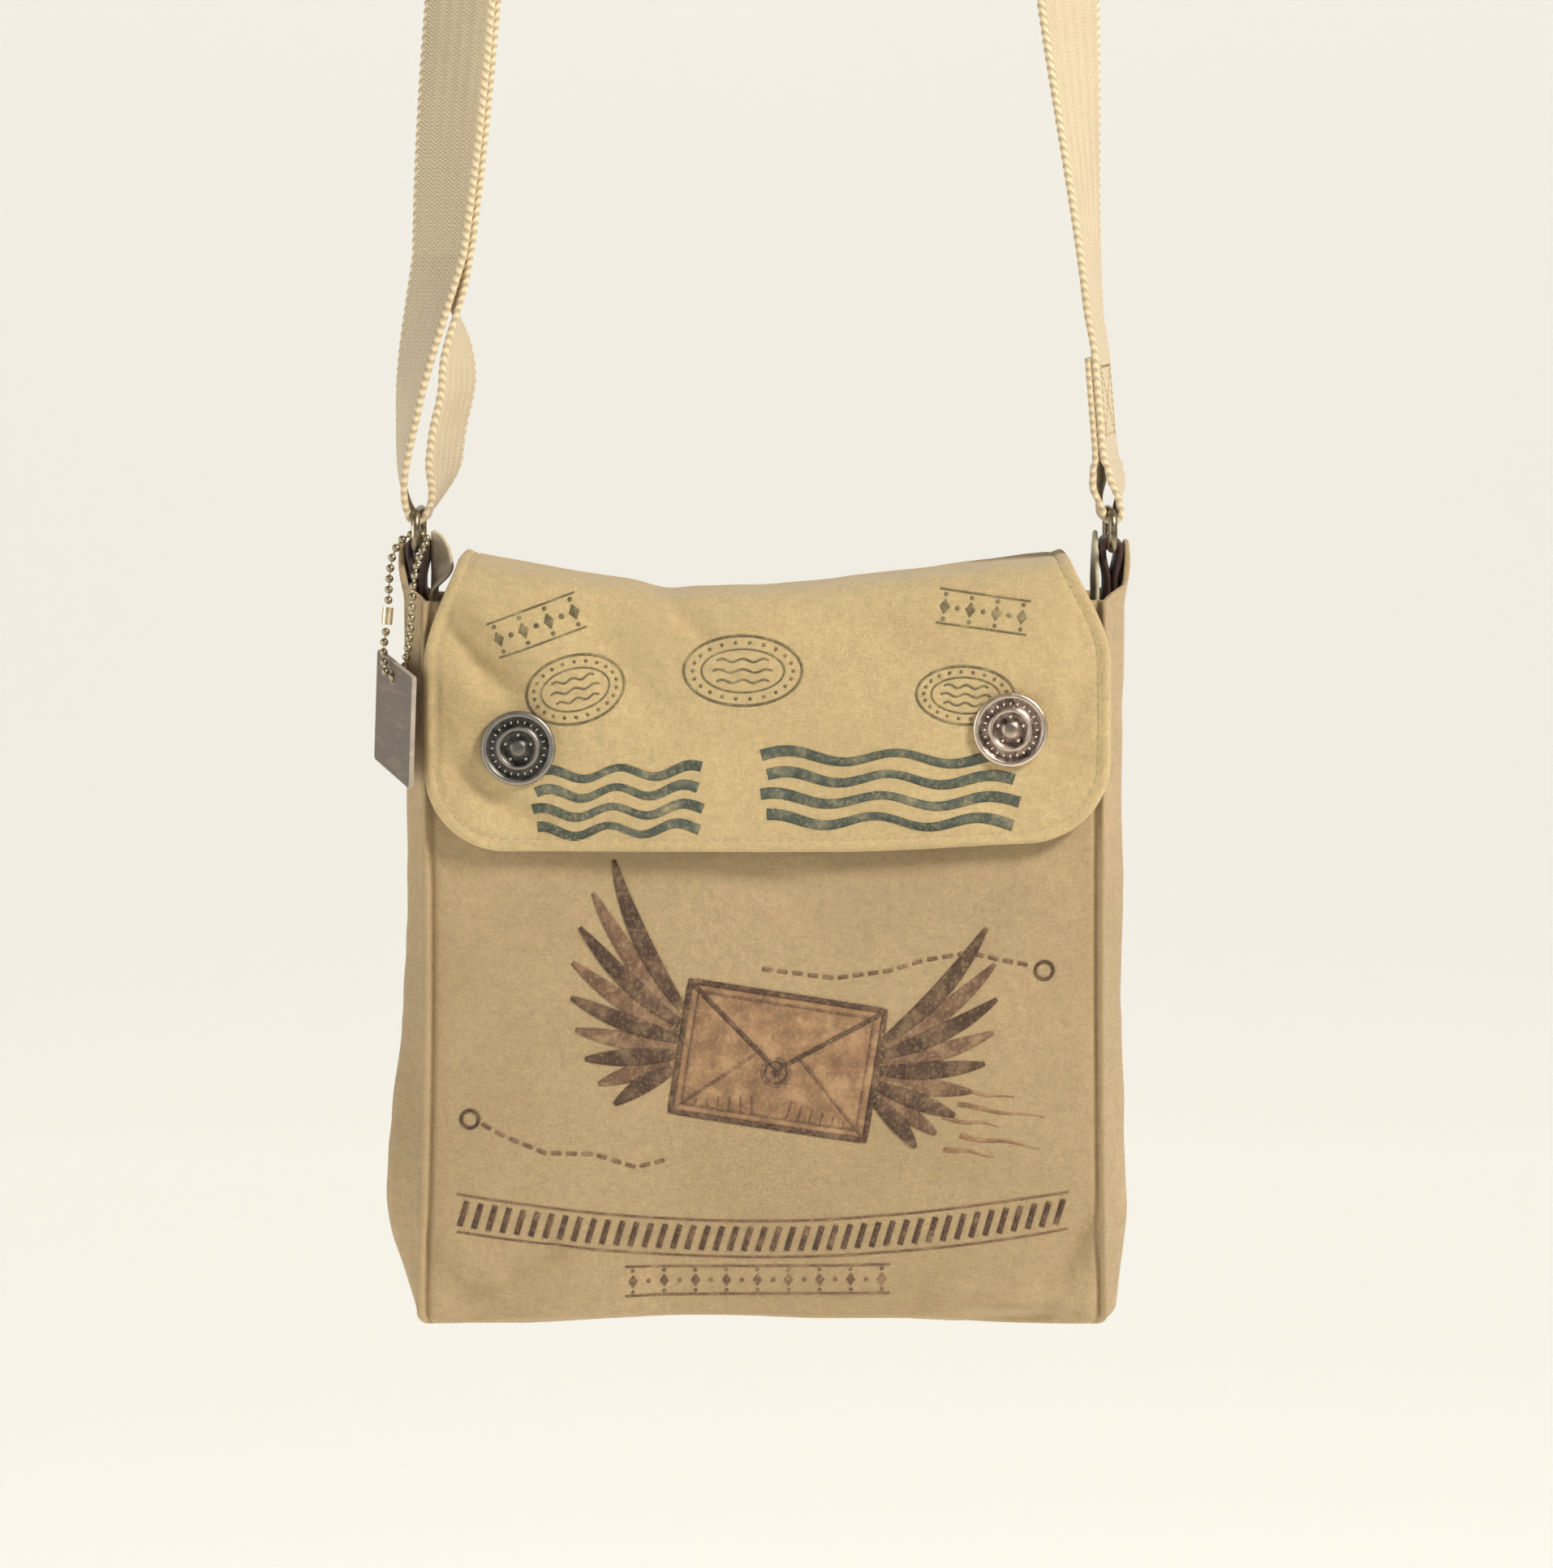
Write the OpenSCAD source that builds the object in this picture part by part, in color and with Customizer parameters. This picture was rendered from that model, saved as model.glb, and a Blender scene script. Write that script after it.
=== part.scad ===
// Canvas mail pouch with a snap flap, hung from its webbing shoulder strap.
// Millimetres, +Z up, front towards -Y. The origin is the underside of the strap's crown.

/* [Pouch] */
// Width of the front and back panels
body_w = 200; // [160:1:240]
// Height of the panels, base to mouth
body_h = 214; // [180:1:250]
// Depth of the pouch over both panels
body_d = 50; // [44:1:62]
// Thickness of the canvas panels
panel_t = 1.6; // [1.2:0.1:2]
// How far each gusset stands out past the panels
gusset_out = 6.3; // [5.5:0.1:8]
// Height of each gusset's tongue above the mouth
tongue_h = 12; // [9:1:12]
// Depth of the facing inside the mouth
facing_h = 52; // [48:1:70]
// Thickness of the facing
facing_t = 1; // [0.8:0.1:1.5]

/* [Flap] */
// Drop of the hanging part of the flap
flap_drop = 69.5; // [60:0.5:80]
// Thickness of one layer of the flap
layer_t = 0.9; // [0.7:0.1:1.1]
// Space between the front panel and the flap
flap_gap = 3; // [2.8:0.1:5]
// Width of the flap over the mouth
flap_top_w = 182; // [140:1:184]
// Height of the flap's top above the mouth
flap_rise = 12; // [11:1:16]
// Radius of the flap's lower corners
flap_corner_r = 22; // [10:1:28]

/* [Snaps] */
// Distance of each snap from the middle
snap_x = 72; // [50:1:76]
// Distance of the left snap below the mouth
snap_drop_left = 41.4; // [30:0.2:46]
// Distance of the right snap below the mouth
snap_drop_right = 36; // [30:0.2:46]
// Diameter of the snap caps
cap_d = 22; // [16:0.5:24]
// Diameter of the studs' heads
stud_d = 5; // [4:0.1:6]

/* [Rings and tabs] */
// Diameter of the ring wire
wire_d = 2.6; // [2:0.1:3]
// Clear width inside a ring
ring_w = 28; // [27:0.5:32]
// Distance between a ring's two long bars
ring_h = 10.5; // [10:0.5:14]
// Width of the leather tabs
tab_w = 20; // [16:0.5:21]
// Thickness of the tab leather
tab_t = 1.9; // [1.4:0.1:2.2]
// Running clearance around the ring bars
bar_gap = 0.25; // [0.15:0.05:0.3]

/* [Strap] */
// Width of the webbing
web_w = 25; // [20:1:26]
// Thickness of the webbing
web_t = 2; // [1.4:0.1:2.2]
// Height of the strap's crown above the base
crown_h = 664; // [600:1:760]
// Lean of each strap leg towards the middle
lean = 5; // [3:0.5:5.5]
// Height of the slider above the base
slider_z = 450; // [430:1:500]

/* [Chain and tag] */
// Diameter of the chain's balls
ball_d = 2.4; // [2:0.1:2.6]
// Distance between two balls
ball_pitch = 3.17; // [3:0.01:3.4]
// Width of the hang tag
tag_w = 40; // [30:1:44]
// Height of the hang tag
tag_h = 33.5; // [28:0.5:40]
// Thickness of the hang tag
tag_t = 1.4; // [1:0.1:1.6]

/* [Hidden] */
$fn = 64;

canvas_col = [0.74, 0.62, 0.43];
flap_col = [0.83, 0.73, 0.53];
web_col = [0.86, 0.78, 0.58];
leather_col = [0.27, 0.16, 0.11];
metal_col = [0.42, 0.38, 0.32];
tag_col = [0.48, 0.43, 0.37];

front_y = -body_d / 2;
back_y = body_d / 2;
inner_y = body_d / 2 - panel_t;
side_x = body_w / 2;
snap_z_left = body_h - snap_drop_left;
snap_z_right = body_h - snap_drop_right;

// Gusset section: flat across the middle, slanting in to the panels' edges
gusset_flat = 13;
gusset_x = side_x + gusset_out;
tongue_w = 2 * gusset_flat - 6;
seam_w = 1;

// Flap section: up from the back panel, over the mouth and down the front
flap_t = 2 * layer_t;
seam_gap = 0.3;
flap_y = front_y - flap_gap - flap_t;
flap_top_z = body_h + flap_rise;
back_bend_r = 8;
front_bend_r = 10;
fold_z = body_h - 2;
flap_front_w = body_w;
shoulder_w = 6;
shoulder_h = 12;
flap_low_z = fold_z - flap_drop;

// Rings hang upright in the middle of the gussets, just inside their canvas
ring_x = gusset_x - panel_t - 0.2 - tab_t;
ring_rise = 16;
bottom_bar_z = body_h + ring_rise;
top_bar_z = bottom_bar_z + ring_h;
bar_half = ring_w / 2 + wire_d / 2;
ring_corner_r = 4;
bore_r = wire_d / 2 + bar_gap;
tab_foot_z = body_h - 26;

// Strap legs lean in from the rings and meet the crown's arc
leg_top_z = crown_h - 64;
leg_top_x = ring_x - (leg_top_z - top_bar_z) * tan(lean);
crown_r = leg_top_x / cos(lean);
crown_mid_z = leg_top_z - crown_r * sin(lean);
hang_h = crown_mid_z + crown_r - web_t / 2;
loop_h = 24;
sewn_len = 46;
split_z = 316;
tail_z = leg_top_z - 64;
ply_gap = 0.5;
right_twist = 60;
left_twist = 58;

// Places each pouch part below the origin at the crown
module hung() translate([0, 0, -hang_h]) children();

// A flat panel with round lower corners, standing on its edge from y0
module panel(w, h, t, y0, corner) {
    translate([0, y0 + t, 0]) rotate([90, 0, 0]) linear_extrude(t) union() {
        translate([-w / 2, corner]) square([w, h - corner]);
        translate([corner - w / 2, 0]) square([w - 2 * corner, corner]);
        for (s = [-1, 1]) translate([s * (w / 2 - corner), corner]) circle(corner);
    }
}

module snap_hole(x, z, r, y0, len) translate([x, y0, z]) rotate([-90, 0, 0]) cylinder(r = r, h = len);

module snap_holes(r, y0, len) {
    snap_hole(-snap_x, snap_z_left, r, y0, len);
    snap_hole(snap_x, snap_z_right, r, y0, len);
}

shank_r = 1.8;
shank_fit = 0.1;

module front_panel() color(canvas_col) hung() difference() {
    panel(body_w, body_h, panel_t, front_y, 3);
    snap_holes(shank_r + shank_fit, front_y - 1, panel_t + 2);
}

module back_panel() color(canvas_col) hung() panel(body_w, body_h, panel_t, inner_y, 3);

module front_facing() color(canvas_col) hung() difference() {
    translate([-side_x + seam_w, -inner_y, body_h - facing_h])
        cube([body_w - 2 * seam_w, facing_t, facing_h]);
    snap_holes(shank_r + shank_fit, -inner_y - 1, facing_t + 2);
}

module back_facing() color(canvas_col) hung()
    translate([-side_x + seam_w, inner_y - facing_t, body_h - facing_h])
        cube([body_w - 2 * seam_w, facing_t, facing_h]);

// Floor of the pouch, cut between the panels, with both gussets' slanting edges
module base_panel() color(canvas_col) hung() linear_extrude(panel_t) intersection() {
    polygon([
        [side_x, -back_y], [gusset_x, -gusset_flat], [gusset_x, gusset_flat], [side_x, back_y],
        [-side_x, back_y], [-gusset_x, gusset_flat], [-gusset_x, -gusset_flat], [-side_x, -back_y]
    ]);
    square([3 * body_w, 2 * inner_y], center = true);
}

// Right-hand gusset; its top rises from the seams to a round tongue at the ring
shoulder_rise = 5;
seam_drop = 0.4;
corner_fit = 0.8;

module gusset() {
    tongue_r = tongue_w / 2;
    tongue_mid = body_h + tongue_h - tongue_r;
    above = body_h + tongue_h + 1;
    beside = back_y + 1;
    difference() {
        translate([0, 0, panel_t]) linear_extrude(body_h + tongue_h - panel_t) difference() {
            polygon([
                [side_x, -back_y], [gusset_x, -gusset_flat], [gusset_x, gusset_flat], [side_x, back_y]
            ]);
            polygon([
                [side_x - 1, -inner_y], [side_x, -inner_y], [gusset_x - panel_t, corner_fit - gusset_flat],
                [gusset_x - panel_t, gusset_flat - corner_fit], [side_x, inner_y], [side_x - 1, inner_y]
            ]);
        }
        // the sloping shoulders on both sides of the tongue
        for (s = [-1, 1]) scale([1, s, 1]) rotate([90, 0, 90]) linear_extrude(gusset_x + 1)
            difference() {
                polygon([
                    [beside, body_h - seam_drop], [gusset_flat, body_h + shoulder_rise],
                    [tongue_r, body_h + shoulder_rise], [tongue_r, tongue_mid], [0, tongue_mid],
                    [0, above], [beside, above]
                ]);
                translate([0, tongue_mid]) circle(tongue_r);
            }
    }
}

module right_gusset() color(canvas_col) hung() gusset();
module left_gusset() color(canvas_col) hung() mirror([1, 0, 0]) gusset();

// Leather folded round the ring's lower bar, both plies sewn inside the gusset
module tab() translate([ring_x, tab_w / 2, bottom_bar_z]) rotate([90, 0, 0]) linear_extrude(tab_w)
    difference() {
        union() {
            circle(bore_r + tab_t);
            translate([-tab_t, tab_foot_z - bottom_bar_z]) square([2 * tab_t, bottom_bar_z - tab_foot_z]);
        }
        circle(bore_r);
    }

module right_tab() color(leather_col) hung() tab();
module left_tab() color(leather_col) hung() mirror([1, 0, 0]) tab();

// Canvas ear on the inner side of the tab, with a round top
ear_w = 22;
ear_t = 1.5;
ear_x = ring_x - bore_r - tab_t - 0.15 - ear_t;

module ear() {
    ear_top = body_h + 21;
    translate([ear_x, 0, 0]) rotate([90, 0, 90]) linear_extrude(ear_t) {
        translate([-ear_w / 2, body_h - 26]) square([ear_w, ear_top - body_h + 26 - ear_w / 2]);
        translate([0, ear_top - ear_w / 2]) circle(ear_w / 2);
    }
}

module right_ear() color(flap_col) hung() ear();
module left_ear() color(flap_col) hung() mirror([1, 0, 0]) ear();

// Rectangular wire ring with round corners, standing in the YZ plane
module ring() translate([ring_x, 0, bottom_bar_z]) {
    wire_r = wire_d / 2;
    straight = bar_half - ring_corner_r;
    for (z = [0, ring_h]) translate([0, straight, z]) rotate([90, 0, 0])
        cylinder(r = wire_r, h = 2 * straight);
    for (s = [-1, 1]) translate([0, s * bar_half, ring_corner_r])
        cylinder(r = wire_r, h = ring_h - 2 * ring_corner_r);
    for (s = [0, 1], t = [0, 1]) mirror([0, s, 0]) translate([0, straight, ring_h / 2]) mirror([0, 0, t])
        translate([0, 0, ring_h / 2 - ring_corner_r]) rotate([90, 0, 90])
            rotate_extrude(angle = 90) translate([ring_corner_r, 0]) circle(wire_r);
}

module right_ring() color(metal_col) hung() ring();
module left_ring() color(metal_col) hung() mirror([1, 0, 0]) ring();

// Section of the flap over the mouth: area between two offsets from its outer face
module bend(r, inset) difference() {
    circle(r - inset);
    circle(r - inset - layer_t);
}

module flap_top_section(inset) {
    back_mid = back_y - back_bend_r;
    front_mid = flap_y + front_bend_r;
    // back upstand
    translate([back_y - inset - layer_t, body_h + seam_gap])
        square([layer_t, flap_top_z - back_bend_r - body_h - seam_gap]);
    intersection() {
        translate([back_mid, flap_top_z - back_bend_r]) bend(back_bend_r, inset);
        translate([back_mid, flap_top_z - back_bend_r]) square(back_bend_r);
    }
    // top
    translate([front_mid, flap_top_z - inset - layer_t]) square([back_mid - front_mid, layer_t]);
    // front bend and lip
    intersection() {
        translate([front_mid, flap_top_z - front_bend_r]) bend(front_bend_r, inset);
        translate([front_mid - front_bend_r, flap_top_z - front_bend_r]) square(front_bend_r);
    }
    translate([flap_y + inset, fold_z + seam_gap])
        square([layer_t, flap_top_z - front_bend_r - fold_z - seam_gap]);
}

module flap_top_layer(inset) hung() translate([-flap_top_w / 2, 0, 0]) rotate([90, 0, 90])
    linear_extrude(flap_top_w) flap_top_section(inset);

module flap_top() color(flap_col) flap_top_layer(0);
module flap_top_lining() color(canvas_col) flap_top_layer(layer_t);

// Outline of the hanging flap: narrow shoulders at the fold, round lower corners
module flap_outline() difference() {
    half = flap_front_w / 2;
    polygon([
        [-half + shoulder_w, fold_z], [half - shoulder_w, fold_z], [half, fold_z - shoulder_h],
        [half, flap_low_z], [-half, flap_low_z], [-half, fold_z - shoulder_h]
    ]);
    for (s = [0, 1]) mirror([s, 0]) translate([half - flap_corner_r, flap_low_z + flap_corner_r])
        difference() {
            translate([0, -flap_corner_r - 1]) square(flap_corner_r + 1);
            circle(flap_corner_r);
        }
}

module flap_front_layer(inset) hung() difference() {
    translate([0, flap_y + inset + layer_t, 0]) rotate([90, 0, 0]) linear_extrude(layer_t) flap_outline();
    snap_holes(shank_r + shank_fit, flap_y - 1, flap_t + 2);
}

module flap_front() color(flap_col) flap_front_layer(0);
module flap_front_lining() color(canvas_col) flap_front_layer(layer_t);

// Snap parts are turned about an axis that points out of the pouch, from the flap's outer face
module snap_axis(x, z, y) hung() translate([x, y, z]) rotate([90, 0, 0]) children();

// Cap: rolled rim, groove, flat ring, raised ring and boss, with its shank through the flap
module snap_cap() {
    cap_r = cap_d / 2;
    rotate_extrude() polygon([
        [0, -flap_t], [shank_r, -flap_t], [shank_r, 0], [cap_r - 0.4, 0], [cap_r, 0.6],
        [cap_r, 1.4], [cap_r - 0.5, 2.1], [cap_r - 1.5, 2.1], [cap_r - 2.1, 1.3], [6.3, 1.5],
        [6.1, 2], [5.4, 2], [5.1, 1.4], [2.6, 1.4], [2.2, 2.2], [0, 2.2]
    ]);
}

stud_base_t = 0.6;
socket_h = flap_gap - stud_base_t - 0.2;
stud_h = flap_gap - stud_base_t - 0.4;
stud_r = stud_d / 2;
stud_fit = 0.3;

// Socket under the flap, open towards the stud
module snap_socket() translate([0, 0, -flap_t - socket_h]) difference() {
    rotate_extrude() polygon([
        [0, 0], [5.6, 0], [6.2, 0.5], [6.2, socket_h], [0, socket_h]
    ]);
    translate([0, 0, -1]) cylinder(r = stud_r + stud_fit, h = socket_h + 0.7);
}

// Stud on the front panel: a base and a waisted head
module snap_stud() rotate_extrude() polygon([
    [0, 0], [6, 0], [6, stud_base_t], [stud_r - 0.4, stud_base_t], [stud_r - 0.4, stud_base_t + 0.5],
    [stud_r, stud_base_t + 1], [stud_r, stud_base_t + stud_h - 0.5],
    [stud_r - 0.5, stud_base_t + stud_h], [0, stud_base_t + stud_h]
]);

// Post behind the panel and its facing, its shank up to the stud
module snap_post() {
    wall = panel_t + facing_t;
    rotate_extrude() polygon([
        [0, -wall - 0.7], [4.6, -wall - 0.7], [5, -wall - 0.4], [5, -wall], [shank_r, -wall],
        [shank_r, 0], [0, 0]
    ]);
}

module left_snap_cap() color(metal_col) snap_axis(-snap_x, snap_z_left, flap_y) snap_cap();
module right_snap_cap() color(metal_col) snap_axis(snap_x, snap_z_right, flap_y) snap_cap();
module left_snap_socket() color(metal_col) snap_axis(-snap_x, snap_z_left, flap_y) snap_socket();
module right_snap_socket() color(metal_col) snap_axis(snap_x, snap_z_right, flap_y) snap_socket();
module left_snap_stud() color(metal_col) snap_axis(-snap_x, snap_z_left, front_y) snap_stud();
module right_snap_stud() color(metal_col) snap_axis(snap_x, snap_z_right, front_y) snap_stud();
module left_snap_post() color(metal_col) snap_axis(-snap_x, snap_z_left, front_y) snap_post();
module right_snap_post() color(metal_col) snap_axis(snap_x, snap_z_right, front_y) snap_post();

// Webbing ribbon through a list of [x, y, z, turn]; turn 0 sets the width along Y
function ribbon_ring(p, w, t) = [
    for (c = [[-1, -1], [1, -1], [1, 1], [-1, 1]])
        [
            p[0] + c[0] * t / 2 * cos(p[3]) - c[1] * w / 2 * sin(p[3]),
            p[1] + c[0] * t / 2 * sin(p[3]) + c[1] * w / 2 * cos(p[3]),
            p[2]
        ]
];

module ribbon(path, w, t) {
    n = len(path);
    points = [for (p = path) each ribbon_ring(p, w, t)];
    sides = [
        for (i = [0:n - 2], k = [0:3])
            let (a = 4 * i + k, b = 4 * i + (k + 1) % 4) each [[a, b, b + 4], [a, b + 4, a + 4]]
    ];
    last = 4 * (n - 1);
    ends = [[0, 3, 2], [0, 2, 1], [last, last + 1, last + 2], [last, last + 2, last + 3]];
    polyhedron(points = points, faces = [for (f = concat(sides, ends)) [f[2], f[1], f[0]]]);
}

function ease(t) = let (u = max(0, min(1, t))) u * u * (3 - 2 * u);
function leg_x(z) = ring_x - (z - top_bar_z) * tan(lean);
// Turn of a leg about its own length: none at the ring and the crown, most between them
function leg_turn(z, most, low, full) =
    most * ease((z - low) / (full - low)) * ease((leg_top_z - z) / 62);

loop_grow = 0.55;

// Outline of the sewn loop around the upper bar, drawn along the leg from the bar
module loop_outline(r, top) union() {
    circle(r);
    polygon([
        [-r, 0], [r, 0], [r + loop_grow, 6], [r * 0.8, 13], [0, top], [-r * 0.8, 13], [-r - loop_grow, 6]
    ]);
}

module along_leg() translate([ring_x, 0, top_bar_z]) rotate([0, -lean, 0]) children();

module strap_right_loop() color(web_col) hung() along_leg() rotate([90, 0, 0])
    translate([0, 0, -web_w / 2]) linear_extrude(web_w) difference() {
        union() {
            loop_outline(bore_r + web_t, loop_h);
            translate([-web_t, 10]) square([2 * web_t, sewn_len - 10]);
        }
        loop_outline(bore_r, loop_h - 8);
    }

leg_step = 8;
leg_steps = round((leg_top_z - top_bar_z) / leg_step);
leg_heights = [
    for (i = [0:leg_steps]) top_bar_z + 0.1 + (leg_top_z - top_bar_z - 0.1) * i / leg_steps
];

module strap_right_leg() color(web_col) hung() {
    z0 = top_bar_z + sewn_len * cos(lean) + 0.3;
    steps = round((leg_top_z - z0) / leg_step);
    ribbon([
        for (i = [0:steps]) let (z = z0 + (leg_top_z - z0) * i / steps)
            [leg_x(z), 0, z, -leg_turn(z, right_twist, z0, 440)]
    ], web_w, web_t);
}

module strap_crown() color(web_col) hung() translate([0, web_w / 2, crown_mid_z]) rotate([90, 0, 0])
    linear_extrude(web_w) difference() {
        intersection() {
            circle(crown_r + web_t / 2, $fn = 180);
            translate([-2 * crown_r, crown_r * sin(lean)]) square([4 * crown_r, 2 * crown_r]);
        }
        circle(crown_r - web_t / 2, $fn = 180);
    }

// Round turn of webbing under the left ring's upper bar
module strap_left_loop() color(web_col) hung() translate([-ring_x, web_w / 2, top_bar_z])
    rotate([90, 0, 0]) linear_extrude(web_w) difference() {
        circle(bore_r + web_t);
        circle(bore_r);
        translate([-2 * bore_r - web_t, 0]) square(4 * bore_r + 2 * web_t);
    }

ply = web_t + ply_gap;
spread = 9;

// The two plies part below split_z and lie together above it, main ply outside and in front
function parted(z) = spread * sin(180 * ease((z - top_bar_z) / (split_z - top_bar_z)));
function loop_start(z) = (bore_r + web_t / 2) * (1 - ease((z - top_bar_z) / 30));
function main_shift(z) = -loop_start(z) - 0.45 * parted(z);
function return_shift(z) =
    loop_start(z) + 0.55 * parted(z) + ply * ease((z - top_bar_z - 20) / 20);

function left_turn(z) = leg_turn(z, left_twist, top_bar_z, 372);
function left_point(z, shift) = [
    -leg_x(z) + shift * cos(left_turn(z)), shift * sin(left_turn(z)), z, left_turn(z)
];

module strap_left_main_leg() color(web_col) hung()
    ribbon([for (z = leg_heights) left_point(z, main_shift(z))], web_w, web_t);

module strap_left_return_leg() color(web_col) hung()
    ribbon([for (z = leg_heights) if (z <= tail_z) left_point(z, return_shift(z))], web_w, web_t);

// Slider around both plies; its own axes are across, through and along the webbing
slider_w = web_w + 7;
slider_len = 20;
slider_bar_r = 1.5;
slider_clear = 0.5;
rail_t = 2;
rail_x = (ply + web_t) / 2 + slider_clear + slider_bar_r;
bar_wall = 1.2;
bar_fit = 0.1;
bar_proud = 0.6;

module on_slider() {
    turn = left_turn(slider_z);
    mid = ply / 2;
    hung() translate([-leg_x(slider_z) + mid * cos(turn), mid * sin(turn), slider_z])
        rotate([0, lean, 0]) rotate([0, 0, turn]) children();
}

module slider_frame() color(metal_col) on_slider() {
    rail_mid = (slider_w - rail_t) / 2;
    // side rails
    for (s = [-1, 1]) translate([-rail_x - bar_wall, s * rail_mid - rail_t / 2, -slider_len / 2])
        difference() {
            cube([2 * rail_x + bar_wall + slider_bar_r, rail_t, slider_len]);
            translate([bar_wall, -1, slider_len / 2]) rotate([-90, 0, 0])
                cylinder(r = slider_bar_r + bar_fit, h = rail_t + 2);
        }
    // end bars behind the webbing
    for (s = [-1, 1]) translate([rail_x, rail_t - slider_w / 2, s * (slider_len / 2 - slider_bar_r)])
        rotate([-90, 0, 0]) cylinder(r = slider_bar_r, h = slider_w - 2 * rail_t);
}

module slider_bar() color(metal_col) on_slider()
    translate([-rail_x, -slider_w / 2 - bar_proud, 0]) rotate([-90, 0, 0])
        cylinder(r = slider_bar_r, h = slider_w + 2 * bar_proud);

// Chain path around the left ring's lower front corner and through the tag's hole,
// measured from the ring's lower bar
chain_turn = [0, -12, 4.2];
chain_path = [
    chain_turn, [-2.4, -12.7, 3.9], [-4.7, -13.7, 2], [-6.9, -14.6, -2], [-7.8, -15, -8],
    [-8.2, -15.2, -16], [-8.7, -16, -22.6], [-9.4, -17.8, -28.6], [-9.2, -20.2, -33.4],
    [-8.3, -21.8, -36.7], [-6, -21, -37.2], [-3.7, -20.2, -36.7], [-2.9, -21.6, -33.4],
    [-1.9, -24.2, -28.4], [-1, -26.2, -22], [-0.5, -26.9, -16], [0, -26.2, -9.5], [1, -23.8, -4],
    [2.3, -19.6, 0], [3.3, -15.6, 2.6], [2.3, -12.8, 3.9]
];
chain_origin = [-ring_x, 0, bottom_bar_z];
hole_at = chain_origin + chain_path[10];
chain_samples = 12;

// Smooth closed curve through the path's points
function curve(p0, p1, p2, p3, t) = 0.5 * (
    2 * p1 + (p2 - p0) * t + (2 * p0 - 5 * p1 + 4 * p2 - p3) * t * t
    + (3 * p1 - p0 - 3 * p2 + p3) * t * t * t
);
chain_n = len(chain_path);
chain_line = [
    for (i = [0:chain_n - 1], k = [0:chain_samples - 1])
        curve(
            chain_path[(i + chain_n - 1) % chain_n], chain_path[i],
            chain_path[(i + 1) % chain_n], chain_path[(i + 2) % chain_n], k / chain_samples
        )
];
line_n = len(chain_line);
function lengths(i, sum) = i > line_n ? [] : concat([sum], lengths(
    i + 1, sum + norm(chain_line[(i + 1) % line_n] - chain_line[i % line_n])
));
line_at = lengths(0, 0);
chain_len = line_at[line_n];
ball_n = round(chain_len / ball_pitch);
function span(s, i = 0) = line_at[i + 1] > s || i >= line_n - 1 ? i : span(s, i + 1);
function on_chain(s) = let (i = span(s), f = (s - line_at[i]) / (line_at[i + 1] - line_at[i]))
    chain_line[i] * (1 - f) + chain_line[(i + 1) % line_n] * f;
function ball_at(i) = chain_origin + on_chain(((i % ball_n) + 0.5) * chain_len / ball_n);

// Points a child's +Z from a to b and starts it at a
module from_to(a, b) {
    d = b - a;
    translate(a) rotate([0, acos(d[2] / norm(d)), atan2(d[1], d[0])]) children();
}

connector_first = 8;
link_d = 0.7;
link_play = 0.03;
sleeve_t = 0.4;

// Loose balls and the pins that link them; the connector holds two of the balls
module ball_chain() color(metal_col) hung() for (i = [0:ball_n - 1]) {
    a = ball_at(i);
    b = ball_at(i + 1);
    start = ball_d / 2 + link_play;
    if (i < connector_first || i > connector_first + 1) translate(a) sphere(d = ball_d, $fn = 24);
    if (i < connector_first - 1 || i > connector_first + 1)
        from_to(a, b) translate([0, 0, start]) cylinder(d = link_d, h = norm(b - a) - 2 * start, $fn = 16);
}

// Sleeve that clips over the chain's two end balls
module chain_connector() color(metal_col) hung() {
    a = ball_at(connector_first);
    b = ball_at(connector_first + 1);
    half = norm(b - a) / 2 + ball_d / 2;
    from_to((a + b) / 2, b) cylinder(d = ball_d + 2 * sleeve_t, h = 2 * half - 0.5, center = true, $fn = 32);
}

// Hang tag: hangs from its hole with its middle straight below it
tag_yaw = 19;
tag_tilt = 8;
hole_drop = 12.3;
tag_corner_r = 1.5;
hole_play = 0.8;

module hang_tag() color(tag_col) hung() translate(hole_at) rotate([0, 0, tag_yaw])
    rotate([90, 0, -90]) difference() {
        translate([0, -hole_drop]) rotate(-tag_tilt) linear_extrude(tag_t, center = true) {
            square([tag_w - 2 * tag_corner_r, tag_h], center = true);
            square([tag_w, tag_h - 2 * tag_corner_r], center = true);
            for (s = [-1, 1], t = [-1, 1])
                translate([s * (tag_w / 2 - tag_corner_r), t * (tag_h / 2 - tag_corner_r)])
                    circle(tag_corner_r);
        }
        cylinder(d = ball_d + 2 * hole_play, h = tag_t + 2, center = true);
    }

front_panel();
back_panel();
base_panel();
left_gusset();
right_gusset();
front_facing();
back_facing();
left_tab();
right_tab();
left_ear();
right_ear();
left_ring();
right_ring();
flap_top();
flap_top_lining();
flap_front();
flap_front_lining();
left_snap_cap();
right_snap_cap();
left_snap_socket();
right_snap_socket();
left_snap_stud();
right_snap_stud();
left_snap_post();
right_snap_post();
strap_crown();
strap_right_leg();
strap_right_loop();
strap_left_loop();
strap_left_main_leg();
strap_left_return_leg();
slider_frame();
slider_bar();
ball_chain();
chain_connector();
hang_tag();
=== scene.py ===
"""Canvas mail pouch: the cloth, leather, metal and prints that are made around the fixed frame.

Lengths are bench millimetres: X across, Y from front to back, Z up from the pouch's base.
"""

import math

import bmesh
import bpy
from bpy.props import FloatProperty, FloatVectorProperty, IntProperty, PointerProperty
from mathutils import Matrix, Vector, noise
from mathutils.bvhtree import BVHTree


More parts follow.
